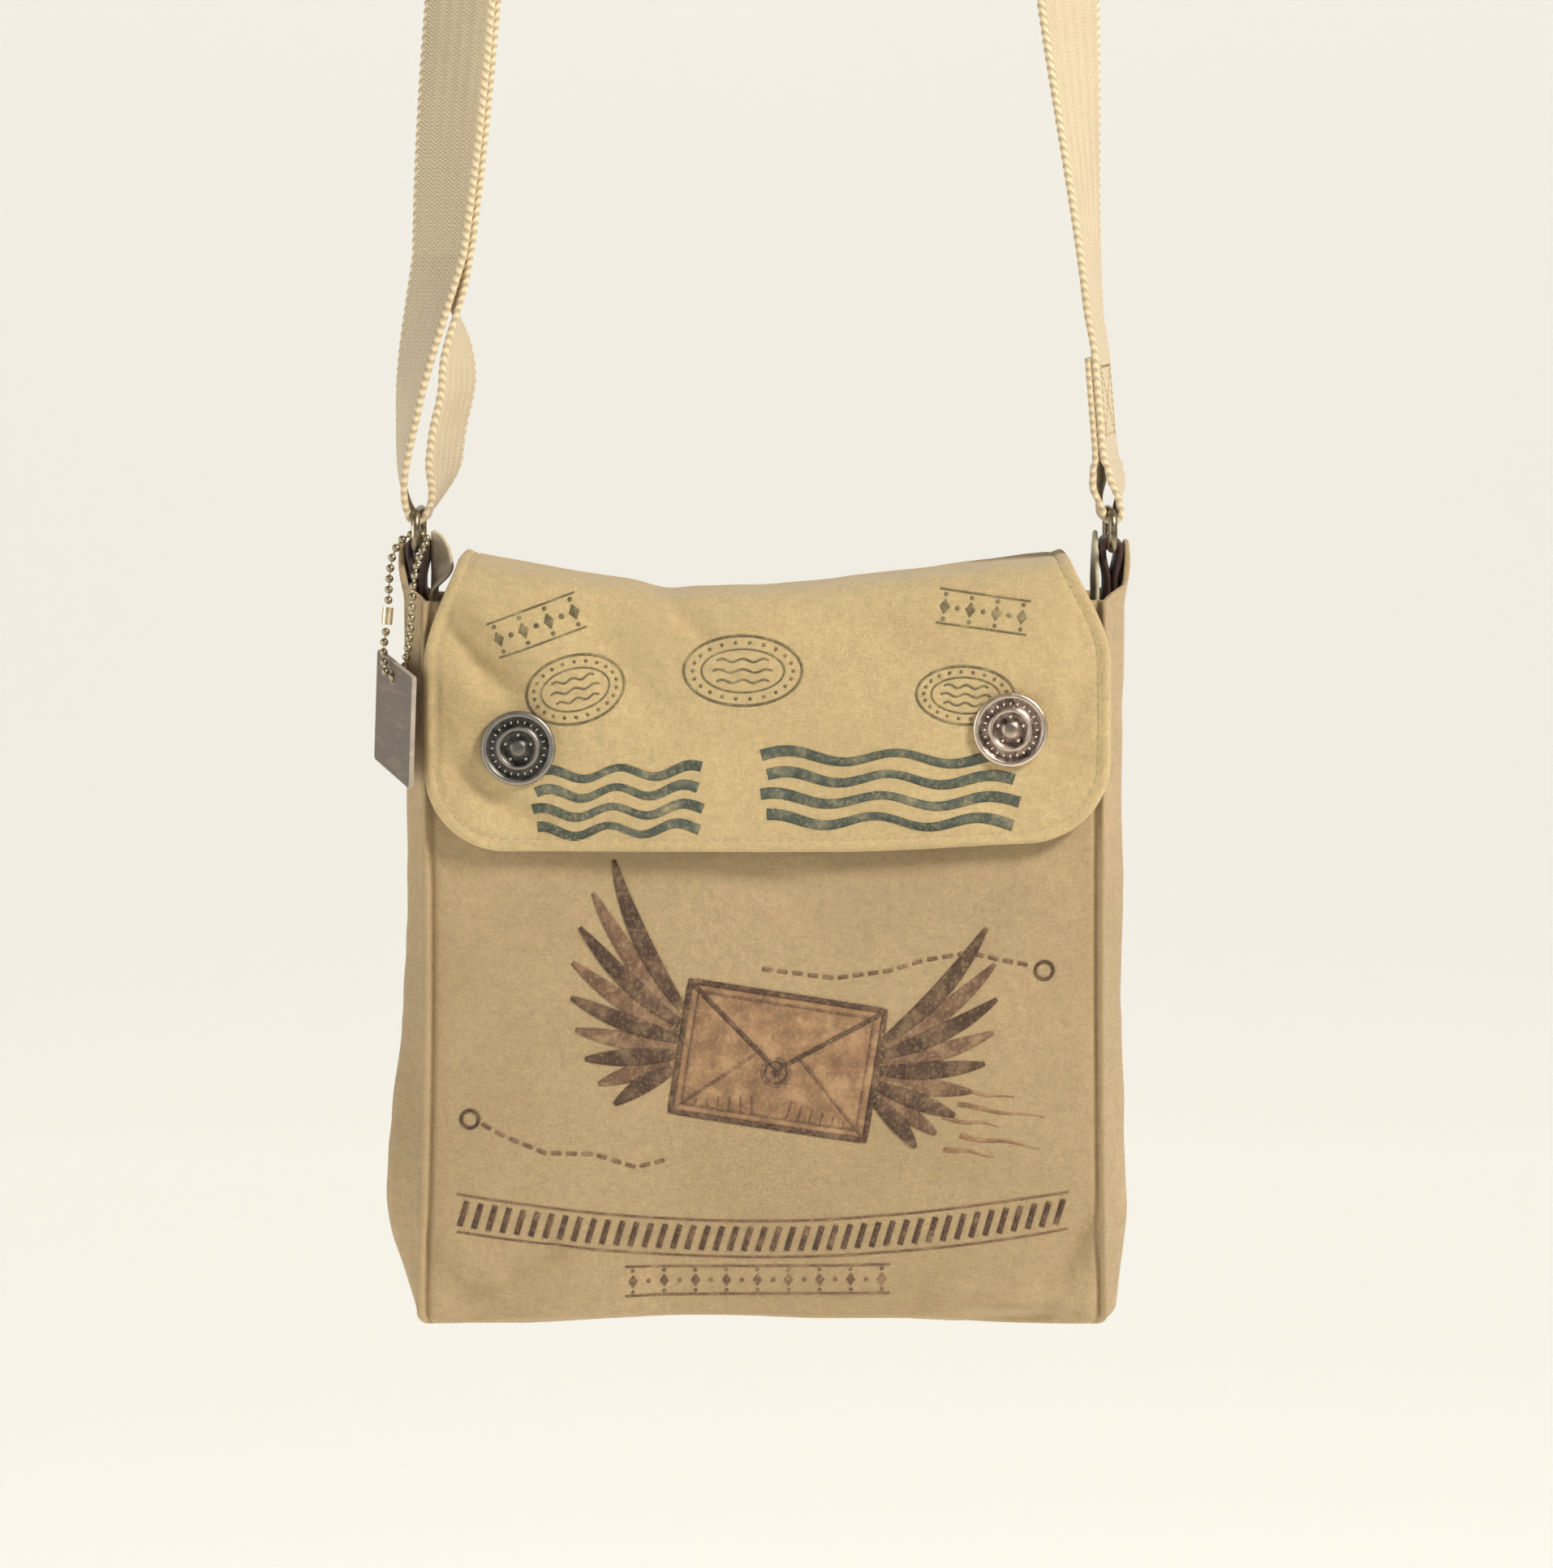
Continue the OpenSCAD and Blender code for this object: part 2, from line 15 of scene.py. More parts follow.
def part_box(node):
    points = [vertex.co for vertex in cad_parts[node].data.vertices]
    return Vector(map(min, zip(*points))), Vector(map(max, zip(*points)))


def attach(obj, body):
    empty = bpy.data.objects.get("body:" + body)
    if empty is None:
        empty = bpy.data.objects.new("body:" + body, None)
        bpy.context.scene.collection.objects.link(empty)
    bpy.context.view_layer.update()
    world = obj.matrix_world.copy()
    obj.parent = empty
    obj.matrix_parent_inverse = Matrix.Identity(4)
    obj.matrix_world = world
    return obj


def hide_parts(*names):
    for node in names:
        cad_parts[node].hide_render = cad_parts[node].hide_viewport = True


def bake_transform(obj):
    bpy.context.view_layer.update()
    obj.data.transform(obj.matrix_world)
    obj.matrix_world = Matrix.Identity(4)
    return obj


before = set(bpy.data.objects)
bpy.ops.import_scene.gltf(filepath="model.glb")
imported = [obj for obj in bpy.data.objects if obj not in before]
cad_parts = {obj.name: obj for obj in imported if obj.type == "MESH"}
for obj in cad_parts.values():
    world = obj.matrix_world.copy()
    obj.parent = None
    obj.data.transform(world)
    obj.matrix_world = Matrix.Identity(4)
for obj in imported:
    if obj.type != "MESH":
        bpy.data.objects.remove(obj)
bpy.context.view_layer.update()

bl_info = {
    "name": "Mail pouch maker",
    "version": (1, 0, 0),
    "blender": (4, 5, 0),
    "location": "View3D > Sidebar > Mail Pouch",
    "description": "Sews a canvas mail pouch around its frame and sets its stage",
    "category": "Add Mesh",
}

MM = 0.001
BASE_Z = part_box("base_panel")[0].z
BENCH = Matrix.Translation((0, 0, BASE_Z)) @ Matrix.Scale(MM, 4)


def bench_box(node):
    """Lowest and highest corner of a node, in bench millimetres."""
    to_bench = BENCH.inverted()
    return [to_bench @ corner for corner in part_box(node)]


PANEL_HIGH = bench_box("front_panel")[1]
HALF_W = PANEL_HIGH.x
BACK_Y = bench_box("back_panel")[1].y
MOUTH_Z = PANEL_HIGH.z
GUSSET_X = bench_box("right_gusset")[1].x
FACING_Z = bench_box("front_facing")[0].z
FLAP_Y = bench_box("flap_front")[0].y
FLAP_LOW_Z = bench_box("flap_front")[0].z
FLAP_TOP_Z = bench_box("flap_top")[1].z
FLAP_ROOT_Z = bench_box("flap_top")[0].z
RING_LOW, RING_HIGH = bench_box("right_ring")
RING_X = (RING_LOW.x + RING_HIGH.x) / 2
WIRE_R = (RING_HIGH.x - RING_LOW.x) / 2
LOW_BAR_Z = RING_LOW.z + WIRE_R
TOP_BAR_Z = RING_HIGH.z - WIRE_R
TAB_FOOT_Z = bench_box("right_tab")[0].z
WEB_W = bench_box("strap_crown")[1].y * 2
WEB_T = 2.0
LEG_TOP_Z = bench_box("strap_right_leg")[1].z
LEG_FOOT_Z = bench_box("strap_right_leg")[0].z
TAIL_Z = bench_box("strap_left_return_leg")[1].z
LEAN = math.radians(5)


# ---------------------------------------------------------------- small helpers

def ease(t):
    """Smooth step from 0 to 1."""
    t = max(0.0, min(1.0, t))
    return t * t * (3 - 2 * t)


def hump(distance, width):
    """Bell curve of a distance."""
    return math.exp(-((distance / width) ** 2))


def crowd(t, power):
    """Maps -1 to 1 on itself and crowds the values towards both ends."""
    return math.copysign(1 - (1 - abs(t)) ** power, t)


def waver(x, y, size, seed):
    """Slow, repeatable unevenness of about -1 to 1."""
    return noise.noise(Vector((x / size + seed, y / size - seed, seed * 1.7)))


def creases(x, z, lines):
    """Depth of the soft folds at (x, z); each line is (x0, z0, x1, z1, width, depth)."""
    total = 0.0
    for x0, z0, x1, z1, width, depth in lines:
        dx, dz = x1 - x0, z1 - z0
        t = max(0.0, min(1.0, ((x - x0) * dx + (z - z0) * dz) / (dx * dx + dz * dz)))
        away = math.hypot(x - x0 - t * dx, z - z0 - t * dz)
        total += depth * hump(away, 0.75 * width) * (0.45 + 0.55 * math.sin(math.pi * (0.15 + 0.7 * t)))
    return total


def grid(bm, across, along, level=0.0):
    """Adds a grid of faces whose vertices run from -1 to 1 both ways."""
    made = bmesh.ops.create_grid(
        bm, x_segments=across, y_segments=along, size=1.0, matrix=Matrix.Translation((0, 0, level))
    )
    return made["verts"]


def two_skins(bm, across, along):
    """Two grids for the two faces of a cloth; a vertex's z is 0 on the outer and 1 on the inner."""
    for level in (0.0, 1.0):
        grid(bm, across, along, level)


def rolled(edge, radius):
    """Share of the full thickness at a distance from a rolled edge."""
    return math.sqrt(max(0.0, 1 - (1 - min(1.0, edge / radius)) ** 2))


def chart(bm, place):
    """Writes the weave's coordinates, in millimetres, from place(vertex co)."""
    layer = bm.loops.layers.uv.get("weave") or bm.loops.layers.uv.new("weave")
    for face in bm.faces:
        for loop in face.loops:
            loop[layer].uv = place(loop.vert.co)


def chart_flat(bm):
    """Lays the weave on each face from the side that it faces."""
    layer = bm.loops.layers.uv.get("weave") or bm.loops.layers.uv.new("weave")
    for face in bm.faces:
        n = face.normal
        for loop in face.loops:
            x, y, z = loop.vert.co
            if abs(n.z) > max(abs(n.x), abs(n.y)):
                loop[layer].uv = (x, y)
            elif abs(n.y) >= abs(n.x):
                loop[layer].uv = (x, z)
            else:
                loop[layer].uv = (y, z)


def make_piece(name, bm, materials, smooth=True):
    """Turns a bench-millimetre mesh into an object in the row frame."""
    bmesh.ops.transform(bm, matrix=BENCH, verts=bm.verts)
    mesh = bpy.data.meshes.new(name)
    bm.to_mesh(mesh)
    bm.free()
    mesh.polygons.foreach_set("use_smooth", [smooth] * len(mesh.polygons))
    for material in materials:
        mesh.materials.append(material)
    piece = bpy.data.objects.new(name, mesh)
    bpy.context.scene.collection.objects.link(piece)
    return piece


def point(x, y, z):
    """A bench point in the row frame."""
    return BENCH @ Vector((x, y, z))


def finish(name):
    """A material by name, made by the finishes operator."""
    return bpy.data.materials[name]


# ---------------------------------------------------------------- materials

def wire(tree, kind, inputs, **settings):
    """Adds a node, sets or links its inputs, and returns its outputs."""
    node = tree.nodes.new(kind)
    for key, value in settings.items():
        setattr(node, key, value)
    for key, value in inputs.items():
        if isinstance(value, bpy.types.NodeSocket):
            tree.links.new(value, node.inputs[key])
        else:
            node.inputs[key].default_value = value
    return node.outputs


def calc(tree, operation, a, b=0.0, clamp=False):
    return wire(tree, "ShaderNodeMath", {0: a, 1: b}, operation=operation, use_clamp=clamp)[0]


def spread(tree, value, low, high, to_low=0.0, to_high=1.0):
    """Maps low..high on to_low..to_high and holds it there."""
    sockets = {"Value": value, "From Min": low, "From Max": high, "To Min": to_low, "To Max": to_high}
    return wire(tree, "ShaderNodeMapRange", sockets)["Result"]


def tint(tree, amount, a, b, mode="MIX"):
    """Mixes two colours; each is a socket or three numbers."""
    a, b = [c if isinstance(c, bpy.types.NodeSocket) else (*c, 1.0) for c in (a, b)]
    return wire(tree, "ShaderNodeMix", {0: amount, 6: a, 7: b}, data_type="RGBA", blend_type=mode)[2]


def cloud(tree, where, scale, detail=3.0, rough=0.55):
    sockets = {"Vector": where, "Scale": scale, "Detail": detail, "Roughness": rough}
    return wire(tree, "ShaderNodeTexNoise", sockets)[0]


def stretched(tree, where, x, y, z=1.0):
    return wire(tree, "ShaderNodeMapping", {"Vector": where, "Scale": (x, y, z)})[0]


def raised(tree, height, distance, strength=1.0, under=None):
    sockets = {"Height": height, "Distance": distance, "Strength": strength}
    if under is not None:
        sockets["Normal"] = under
    return wire(tree, "ShaderNodeBump", sockets)[0]


def start_finish(name, rough, metal=0.0, sheen=0.0):
    """A new material, its node tree and its shader with the uniform values set."""
    plain = bpy.data.materials.get(name)
    if plain:
        plain.name = name + "_plain"
    material = bpy.data.materials.new(name)
    material.use_nodes = True
    tree = material.node_tree
    shader = tree.nodes["Principled BSDF"]
    shader.inputs["Roughness"].default_value = rough
    shader.inputs["Metallic"].default_value = metal
    shader.inputs["Sheen Weight"].default_value = sheen
    shader.inputs["Sheen Roughness"].default_value = 0.6
    return tree, shader


def set_look(tree, shader, colour, normal=None, rough=None):
    tree.links.new(colour, shader.inputs["Base Color"])
    if normal is not None:
        tree.links.new(normal, shader.inputs["Normal"])
    if rough is not None:
        tree.links.new(rough, shader.inputs["Roughness"])


def shades(colour, dark, light):
    """Darker and lighter versions of a colour."""
    return tuple(c * dark for c in colour), tuple(min(1.0, c * light) for c in colour)


def weave_height(tree, uv, pitch):
    """Plain weave: threads pass over and under each other at the pitch, a little unevenly."""
    wobble = cloud(tree, uv, 0.35, 2.0)
    sides = wire(tree, "ShaderNodeSeparateXYZ", {0: uv})
    turns = 2 * math.pi / pitch
    shift = calc(tree, "MULTIPLY", wobble, 2.2)
    over = [
        calc(tree, "SINE", calc(tree, "ADD", calc(tree, "MULTIPLY", side, turns), shift))
        for side in (sides[0], sides[1])
    ]
    return spread(tree, calc(tree, "MULTIPLY", over[0], over[1]), -1.0, 1.0)


def canvas_finish(name, colour, pitch, soil):
    """Cotton canvas: plain weave, slubs along both threads, soft stains and faded patches."""
    tree, shader = start_finish(name, 0.9, sheen=0.25)
    place = wire(tree, "ShaderNodeTexCoord", {})["Object"]
    uv = wire(tree, "ShaderNodeUVMap", {}, uv_map="weave")[0]
    dark, light = shades(colour, 0.6, 1.3)
    deep = tuple(c * k for c, k in zip(colour, (0.62, 0.55, 0.42)))
    weave = weave_height(tree, uv, pitch)
    slub = cloud(tree, stretched(tree, uv, 0.22, 2.6), 1.0, 2.0)
    slub_cross = cloud(tree, stretched(tree, uv, 2.6, 0.22), 1.0, 2.0)
    grain = cloud(tree, uv, 0.75, 4.0, 0.75)
    patch = cloud(tree, place, 26.0, 4.0, 0.6)
    stain = cloud(tree, place, 11.0, 3.0, 0.55)
    mottle = cloud(tree, uv, 0.28, 3.0, 0.6)
    fleck = cloud(tree, uv, 2.2, 2.0, 0.6)
    look = tint(tree, spread(tree, patch, 0.35, 0.7, 0.0, 0.6), colour, light)
    look = tint(tree, spread(tree, stain, 0.46, 0.7, 0.0, soil), look, deep)
    look = tint(tree, spread(tree, mottle, 0.42, 0.66, 0.0, 0.3), look, dark)
    look = tint(tree, spread(tree, grain, 0.4, 0.62, 0.0, 0.42), look, dark)
    look = tint(tree, spread(tree, slub, 0.5, 0.75, 0.0, 0.4), look, light)
    look = tint(tree, spread(tree, slub_cross, 0.52, 0.75, 0.0, 0.4), look, dark)
    look = tint(tree, spread(tree, fleck, 0.54, 0.66, 0.0, 0.55), look, light)
    look = tint(tree, calc(tree, "MULTIPLY", weave, 0.3), look, dark)
    bumps = raised(tree, weave, 0.0002, 0.8)
    bumps = raised(tree, slub, 0.0004, 0.5, bumps)
    bumps = raised(tree, grain, 0.0005, 0.6, bumps)
    bumps = raised(tree, mottle, 0.0008, 0.4, bumps)
    bumps = raised(tree, cloud(tree, place, 130.0, 3.0), 0.002, 0.45, bumps)
    set_look(tree, shader, look, bumps, spread(tree, grain, 0.3, 0.7, 0.84, 0.97))


def webbing_finish(name, colour, rib):
    """Twill webbing: slanting ribs, a chevron band and pale loops along both edges."""
    tree, shader = start_finish(name, 0.88, sheen=0.3)
    place = wire(tree, "ShaderNodeTexCoord", {})["Object"]
    uv = wire(tree, "ShaderNodeUVMap", {}, uv_map="weave")[0]
    sides = wire(tree, "ShaderNodeSeparateXYZ", {0: uv})
    dark, light = shades(colour, 0.68, 1.16)
    wobble = calc(tree, "MULTIPLY", cloud(tree, uv, 0.5, 2.0), 2.4)
    fold = calc(tree, "PINGPONG", calc(tree, "ADD", sides[0], 40.0), 2.1)
    slant = calc(tree, "ADD", sides[1], calc(tree, "MULTIPLY", fold, 0.75))
    turns = 2 * math.pi / rib
    ribs = calc(tree, "SINE", calc(tree, "ADD", calc(tree, "MULTIPLY", slant, turns), wobble))
    ribs = spread(tree, ribs, -1.0, 1.0)
    warp = calc(tree, "SINE", calc(tree, "MULTIPLY", sides[0], 2 * math.pi / 0.9))
    edge = spread(tree, calc(tree, "ABSOLUTE", sides[0]), WEB_W / 2 - 1.9, WEB_W / 2 - 1.4)
    loops = calc(tree, "SINE", calc(tree, "MULTIPLY", slant, 2 * math.pi / 2.6))
    loops = spread(tree, loops, -0.8, 0.4)
    field = tint(tree, calc(tree, "MULTIPLY", ribs, 0.55), colour, dark)
    field = tint(tree, spread(tree, warp, -1.0, 1.0, 0.0, 0.18), field, light)
    border = tint(tree, loops, shades(colour, 0.72, 1)[0], light)
    look = tint(tree, edge, field, border)
    soil = cloud(tree, place, 30.0, 4.0, 0.6)
    look = tint(tree, spread(tree, soil, 0.45, 0.75, 0.0, 0.35), look, dark)
    heights = tint(tree, edge, ribs, loops)
    bumps = raised(tree, heights, 0.00035, 0.8)
    bumps = raised(tree, cloud(tree, uv, 1.6, 3.0), 0.0003, 0.4, bumps)
    set_look(tree, shader, look, bumps)


def thread_finish(name, colour):
    """Sewing thread with its twist."""
    tree, shader = start_finish(name, 0.8, sheen=0.2)
    place = wire(tree, "ShaderNodeTexCoord", {})["Object"]
    twist = wire(tree, "ShaderNodeTexWave", {"Vector": place, "Scale": 900.0, "Distortion": 1.0},
                 bands_direction="DIAGONAL")[1]
    dark, _ = shades(colour, 0.6, 1)
    set_look(tree, shader, tint(tree, twist, dark, colour), raised(tree, twist, 0.0001, 0.6))


def leather_finish(name, colour, pore, gloss):
    """Leather: small pores, creases, rubbed patches."""
    tree, shader = start_finish(name, gloss)
    place = wire(tree, "ShaderNodeTexCoord", {})["Object"]
    dark, light = shades(colour, 0.55, 1.7)
    pores = wire(tree, "ShaderNodeTexVoronoi", {"Vector": place, "Scale": pore}, feature="F1")[0]
    rub = cloud(tree, place, 70.0, 5.0, 0.65)
    scuff = cloud(tree, stretched(tree, place, 60.0, 60.0, 400.0), 1.0, 3.0)
    look = tint(tree, spread(tree, rub, 0.35, 0.7), dark, colour)
    look = tint(tree, spread(tree, scuff, 0.55, 0.8, 0.0, 0.5), look, light)
    look = tint(tree, spread(tree, pores, 0.0, 0.45, 0.45, 0.0), look, dark)
    worn = spread(tree, wire(tree, "ShaderNodeNewGeometry", {})["Pointiness"], 0.52, 0.6, 0.0, 0.8)
    look = tint(tree, worn, look, light)
    bumps = raised(tree, pores, 0.0002, 0.5)
    bumps = raised(tree, rub, 0.0006, 0.3, bumps)
    set_look(tree, shader, look, bumps, spread(tree, rub, 0.3, 0.7, gloss - 0.1, gloss + 0.15))


def metal_finish(name, colour, patina, shine, gloss):
    """Old plated metal: dark patina in the hollows, rubbed bright on the edges."""
    tree, shader = start_finish(name, gloss, metal=0.95)
    place = wire(tree, "ShaderNodeTexCoord", {})["Object"]
    spots = cloud(tree, place, 420.0, 5.0, 0.7)
    scratch = cloud(tree, stretched(tree, place, 2400.0, 2400.0, 300.0), 1.0, 2.0)
    edge = wire(tree, "ShaderNodeNewGeometry", {})["Pointiness"]
    look = tint(tree, spread(tree, spots, 0.35, 0.68), patina, colour)
    look = tint(tree, spread(tree, edge, 0.5, 0.58), look, shine)
    look = tint(tree, spread(tree, edge, 0.42, 0.49, 0.85, 0.0), look, patina)
    bumps = raised(tree, spots, 0.0002, 0.25)
    bumps = raised(tree, scratch, 0.0001, 0.15, bumps)
    set_look(tree, shader, look, bumps, spread(tree, spots, 0.3, 0.7, gloss - 0.08, gloss + 0.15))


def ink_finish(name, colour, cloth, wear):
    """Printed ink that has soaked into the cloth and worn off its threads."""
    tree, shader = start_finish(name, 0.92)
    place = wire(tree, "ShaderNodeTexCoord", {})["Object"]
    speck = cloud(tree, place, 900.0, 3.0, 0.7)
    patch = cloud(tree, place, 160.0, 4.0, 0.6)
    dark, light = shades(colour, 0.72, 1.35)
    look = tint(tree, spread(tree, patch, 0.35, 0.65), dark, light)
    gone = [spread(tree, speck, 0.5, 0.72, 0.0, wear), spread(tree, patch, 0.5, 0.8, 0.0, wear)]
    gone = calc(tree, "ADD", *gone)
    look = tint(tree, calc(tree, "MINIMUM", gone, 0.9), look, cloth)
    bumps = raised(tree, speck, 0.0002, 0.4)
    set_look(tree, shader, look, bumps)


def stage_finish(name, colour):
    tree, shader = start_finish(name, 0.95)
    place = wire(tree, "ShaderNodeTexCoord", {})["Object"]
    soft = cloud(tree, place, 2.0, 2.0)
    set_look(tree, shader, tint(tree, soft, colour, tuple(c * 0.985 for c in colour)))
    shader.inputs["Emission Color"].default_value = (*colour, 1.0)
    shader.inputs["Emission Strength"].default_value = 0.6


class FinishSettings(bpy.types.PropertyGroup):
    # The panels' canvas is set darker than the flap's canvas: part of that darkness is painted shade,
    # standing in for the flap's shadow over the panels.
    canvas: FloatVectorProperty(
        name="Canvas", description="Colour of the panels and gussets", subtype="COLOR",
        default=(0.575, 0.405, 0.205), min=0, max=1)
    flap: FloatVectorProperty(
        name="Flap", description="Colour of the flap's canvas", subtype="COLOR",
        default=(0.72, 0.53, 0.255), min=0, max=1)
    webbing: FloatVectorProperty(
        name="Webbing", description="Colour of the strap", subtype="COLOR",
        default=(0.76, 0.60, 0.37), min=0, max=1)
    leather: FloatVectorProperty(
        name="Tab leather", description="Colour of the ring tabs", subtype="COLOR",
        default=(0.045, 0.018, 0.012), min=0, max=1)
    tag: FloatVectorProperty(
        name="Tag leather", description="Colour of the hang tag", subtype="COLOR",
        default=(0.2, 0.15, 0.11), min=0, max=1)
    thread_pitch: FloatProperty(
        name="Thread pitch", description="Distance between the canvas's threads, in millimetres",
        default=0.62, min=0.3, max=1.2)


class POUCH_OT_finishes(bpy.types.Operator):
    """Make the cloth, leather, metal, thread and ink finishes"""
    bl_idname = "pouch.finishes"
    bl_label = "Finishes"

    def execute(self, context):
        s = context.scene.pouch_finishes
        canvas, flap, webbing = tuple(s.canvas), tuple(s.flap), tuple(s.webbing)
        canvas_finish("canvas", canvas, s.thread_pitch, 0.4)
        canvas_finish("flap_canvas", flap, s.thread_pitch, 0.25)
        canvas_finish("lining_canvas", tuple(c * 0.85 for c in canvas), s.thread_pitch * 1.3, 0.2)
        # The ears' canvas is painted light: far lighter than the other canvas, to make up for the shade the
        # ears sit in behind the tabs.
        canvas_finish("ear_canvas_painted_light", (0.95, 0.78, 0.54), s.thread_pitch * 0.8, 0.15)
        webbing_finish("webbing", webbing, 1.15)
        thread_finish("thread", (0.68, 0.52, 0.28))
        # The seam thread is painted dark: the stitches are real, and their dark colour is painted shade for
        # the sewn groove they lie in.
        thread_finish("seam_thread_painted_shade", (0.36, 0.26, 0.13))
        leather_finish("tab_leather", tuple(s.leather), 900.0, 0.5)
        leather_finish("tag_leather", tuple(s.tag), 1300.0, 0.55)
        # The tag's edge finish is paler than its face: partly worn leather, partly a painted highlight where
        # the rim catches light.
        leather_finish("tag_edge_wear_and_highlight", (0.5, 0.42, 0.33), 1300.0, 0.6)
        metal_finish("old_brass", (0.3, 0.235, 0.15), (0.035, 0.028, 0.022), (0.8, 0.68, 0.46), 0.36)
        metal_finish("gunmetal", (0.145, 0.13, 0.11), (0.03, 0.028, 0.025), (0.5, 0.46, 0.4), 0.4)
        metal_finish("copper", (0.52, 0.38, 0.31), (0.045, 0.028, 0.022), (0.92, 0.78, 0.62), 0.34)
        ink_finish("green_ink", (0.085, 0.1, 0.075), flap, 0.32)
        ink_finish("olive_ink", (0.17, 0.135, 0.07), flap, 0.35)
        ink_finish("dark_ink", (0.1, 0.055, 0.035), canvas, 0.32)
        ink_finish("brown_ink", (0.19, 0.105, 0.062), canvas, 0.42)
        ink_finish("saddle_ink", (0.31, 0.175, 0.09), canvas, 0.4)
        stage_finish("backdrop", tuple(context.scene.pouch_stage.backdrop))
        return {"FINISHED"}


# ---------------------------------------------------------------- pouch

class PouchSettings(bpy.types.PropertyGroup):
    belly: FloatProperty(
        name="Belly", description="How far the filled lower half stands out, in millimetres",
        default=5.0, min=0, max=8)
    puff: FloatProperty(
        name="Gusset puff", description="How far the left gusset bulges near the base, in millimetres",
        default=4.6, min=0, max=8)
    sag: FloatProperty(
        name="Mouth sag", description="How far the middle of the mouth hangs down, in millimetres",
        default=5.0, min=0, max=12)
    ridge: FloatProperty(
        name="Seam ridge", description="Height of the edge-sewn ridge beside each gusset, in millimetres",
        default=1.2, min=0, max=2)
    stitch_pitch: FloatProperty(
        name="Stitch pitch", description="Distance between two stitches, in millimetres",
        default=3.1, min=1.5, max=6)


FRONT_COLUMNS = 116
GUSSET_COLUMNS = 44
EDGE_X = HALF_W + 0.6
BASE_R = 4.0
WALL_T = 1.7
FACED_T = 2.6
FRONT_FOLDS = [
    (-88, 6, -62, 20, 6.0, -1.7), (-70, 4, -40, 13, 7.0, 1.1), (-96, 28, -78, 12, 5.0, 1.2),
    (98, 30, 84, 10, 7.0, -1.8), (86, 7, 52, 10, 5.5, 1.5), (60, 2, 92, 3.5, 3.0, -1.2),
    (-30, 9, 40, 6, 8.0, -0.9), (-60, 40, 20, 31, 13.0, 0.8), (30, 52, 84, 34, 12.0, -0.8),
    (-84, 128, -50, 108, 10.0, -0.9), (80, 132, 62, 96, 11.0, 0.8), (0, 136, 20, 118, 12.0, -0.7),
]
BACK_FOLDS = [
    (-80, 10, -40, 22, 7.0, -1.6), (90, 30, 60, 8, 7.0, -1.8), (-90, 190, -40, 150, 14.0, -1.2),
    (70, 180, 20, 140, 15.0, 1.2), (-20, 100, 60, 70, 18.0, -1.0),
]

# Folds and unevenness seed of each panel, by its side of the pouch: 0 is the front and 2 the back
PANEL_LOOKS = {0: (FRONT_FOLDS, 3.1), 2: (BACK_FOLDS, 8.4)}


def panel_half_width(z, side):
    """The panels spread a little towards the base, more on the left."""
    low = max(0.0, 1 - z / 120)
    return EDGE_X + (3.0 if side < 0 else 1.8) * low * low * (1 if z > 8 else 0.75 + 0.25 * z / 8)


def base_height(x):
    """Underside of the base: its corners hang lower than its middle."""
    return 2.6 * hump(x + 18, 42) + 1.2 * hump(x - 42, 22)


def panel_out(x, z, folds, seed, belly):
    """How far a panel stands out from its flat place."""
    low = max(0.0, min(1.0, z / 150))
    across = max(0.0, math.cos(0.5 * math.pi * min(1.0, abs(x) / HALF_W)))
    full = belly * math.sin(math.pi * low ** 0.8) * across ** 0.6
    calm = 1 - ease((z - 128) / 30)
    rough = 0.8 * waver(x, z, 46, seed) + 0.35 * waver(x, z, 17, seed + 5) + 0.12 * waver(x, z, 7, seed + 9)
    return full + (0.25 + 0.75 * calm) * rough + 2.4 * creases(x, z, folds) * calm


def seam_profile(inward, ridge):
    """Ridge of the sewn edge and the stitched groove beside it, by the distance in from the edge."""
    return ridge * hump(inward - 1.0, 0.95) - 1.15 * ridge * hump(inward - 2.9, 0.75)


def mouth_height(x, y, on_gusset, sag):
    """Top edge of the cloth: sags in the middle and rises to a tongue at each ring."""
    if not on_gusset:
        return MOUTH_Z - 0.5 - sag * hump(x + 15, 52) + 0.8 * ease((abs(x) - 80) / 20)
    rise = 5.0 * ease((BACK_Y - abs(y)) / 12)
    round_top = max(0.0, 1 - (abs(y) / 11.0) ** 2)
    return MOUTH_Z - 0.2 + rise + 12.6 * math.sqrt(round_top) * ease((11.0 - abs(y)) / 3)


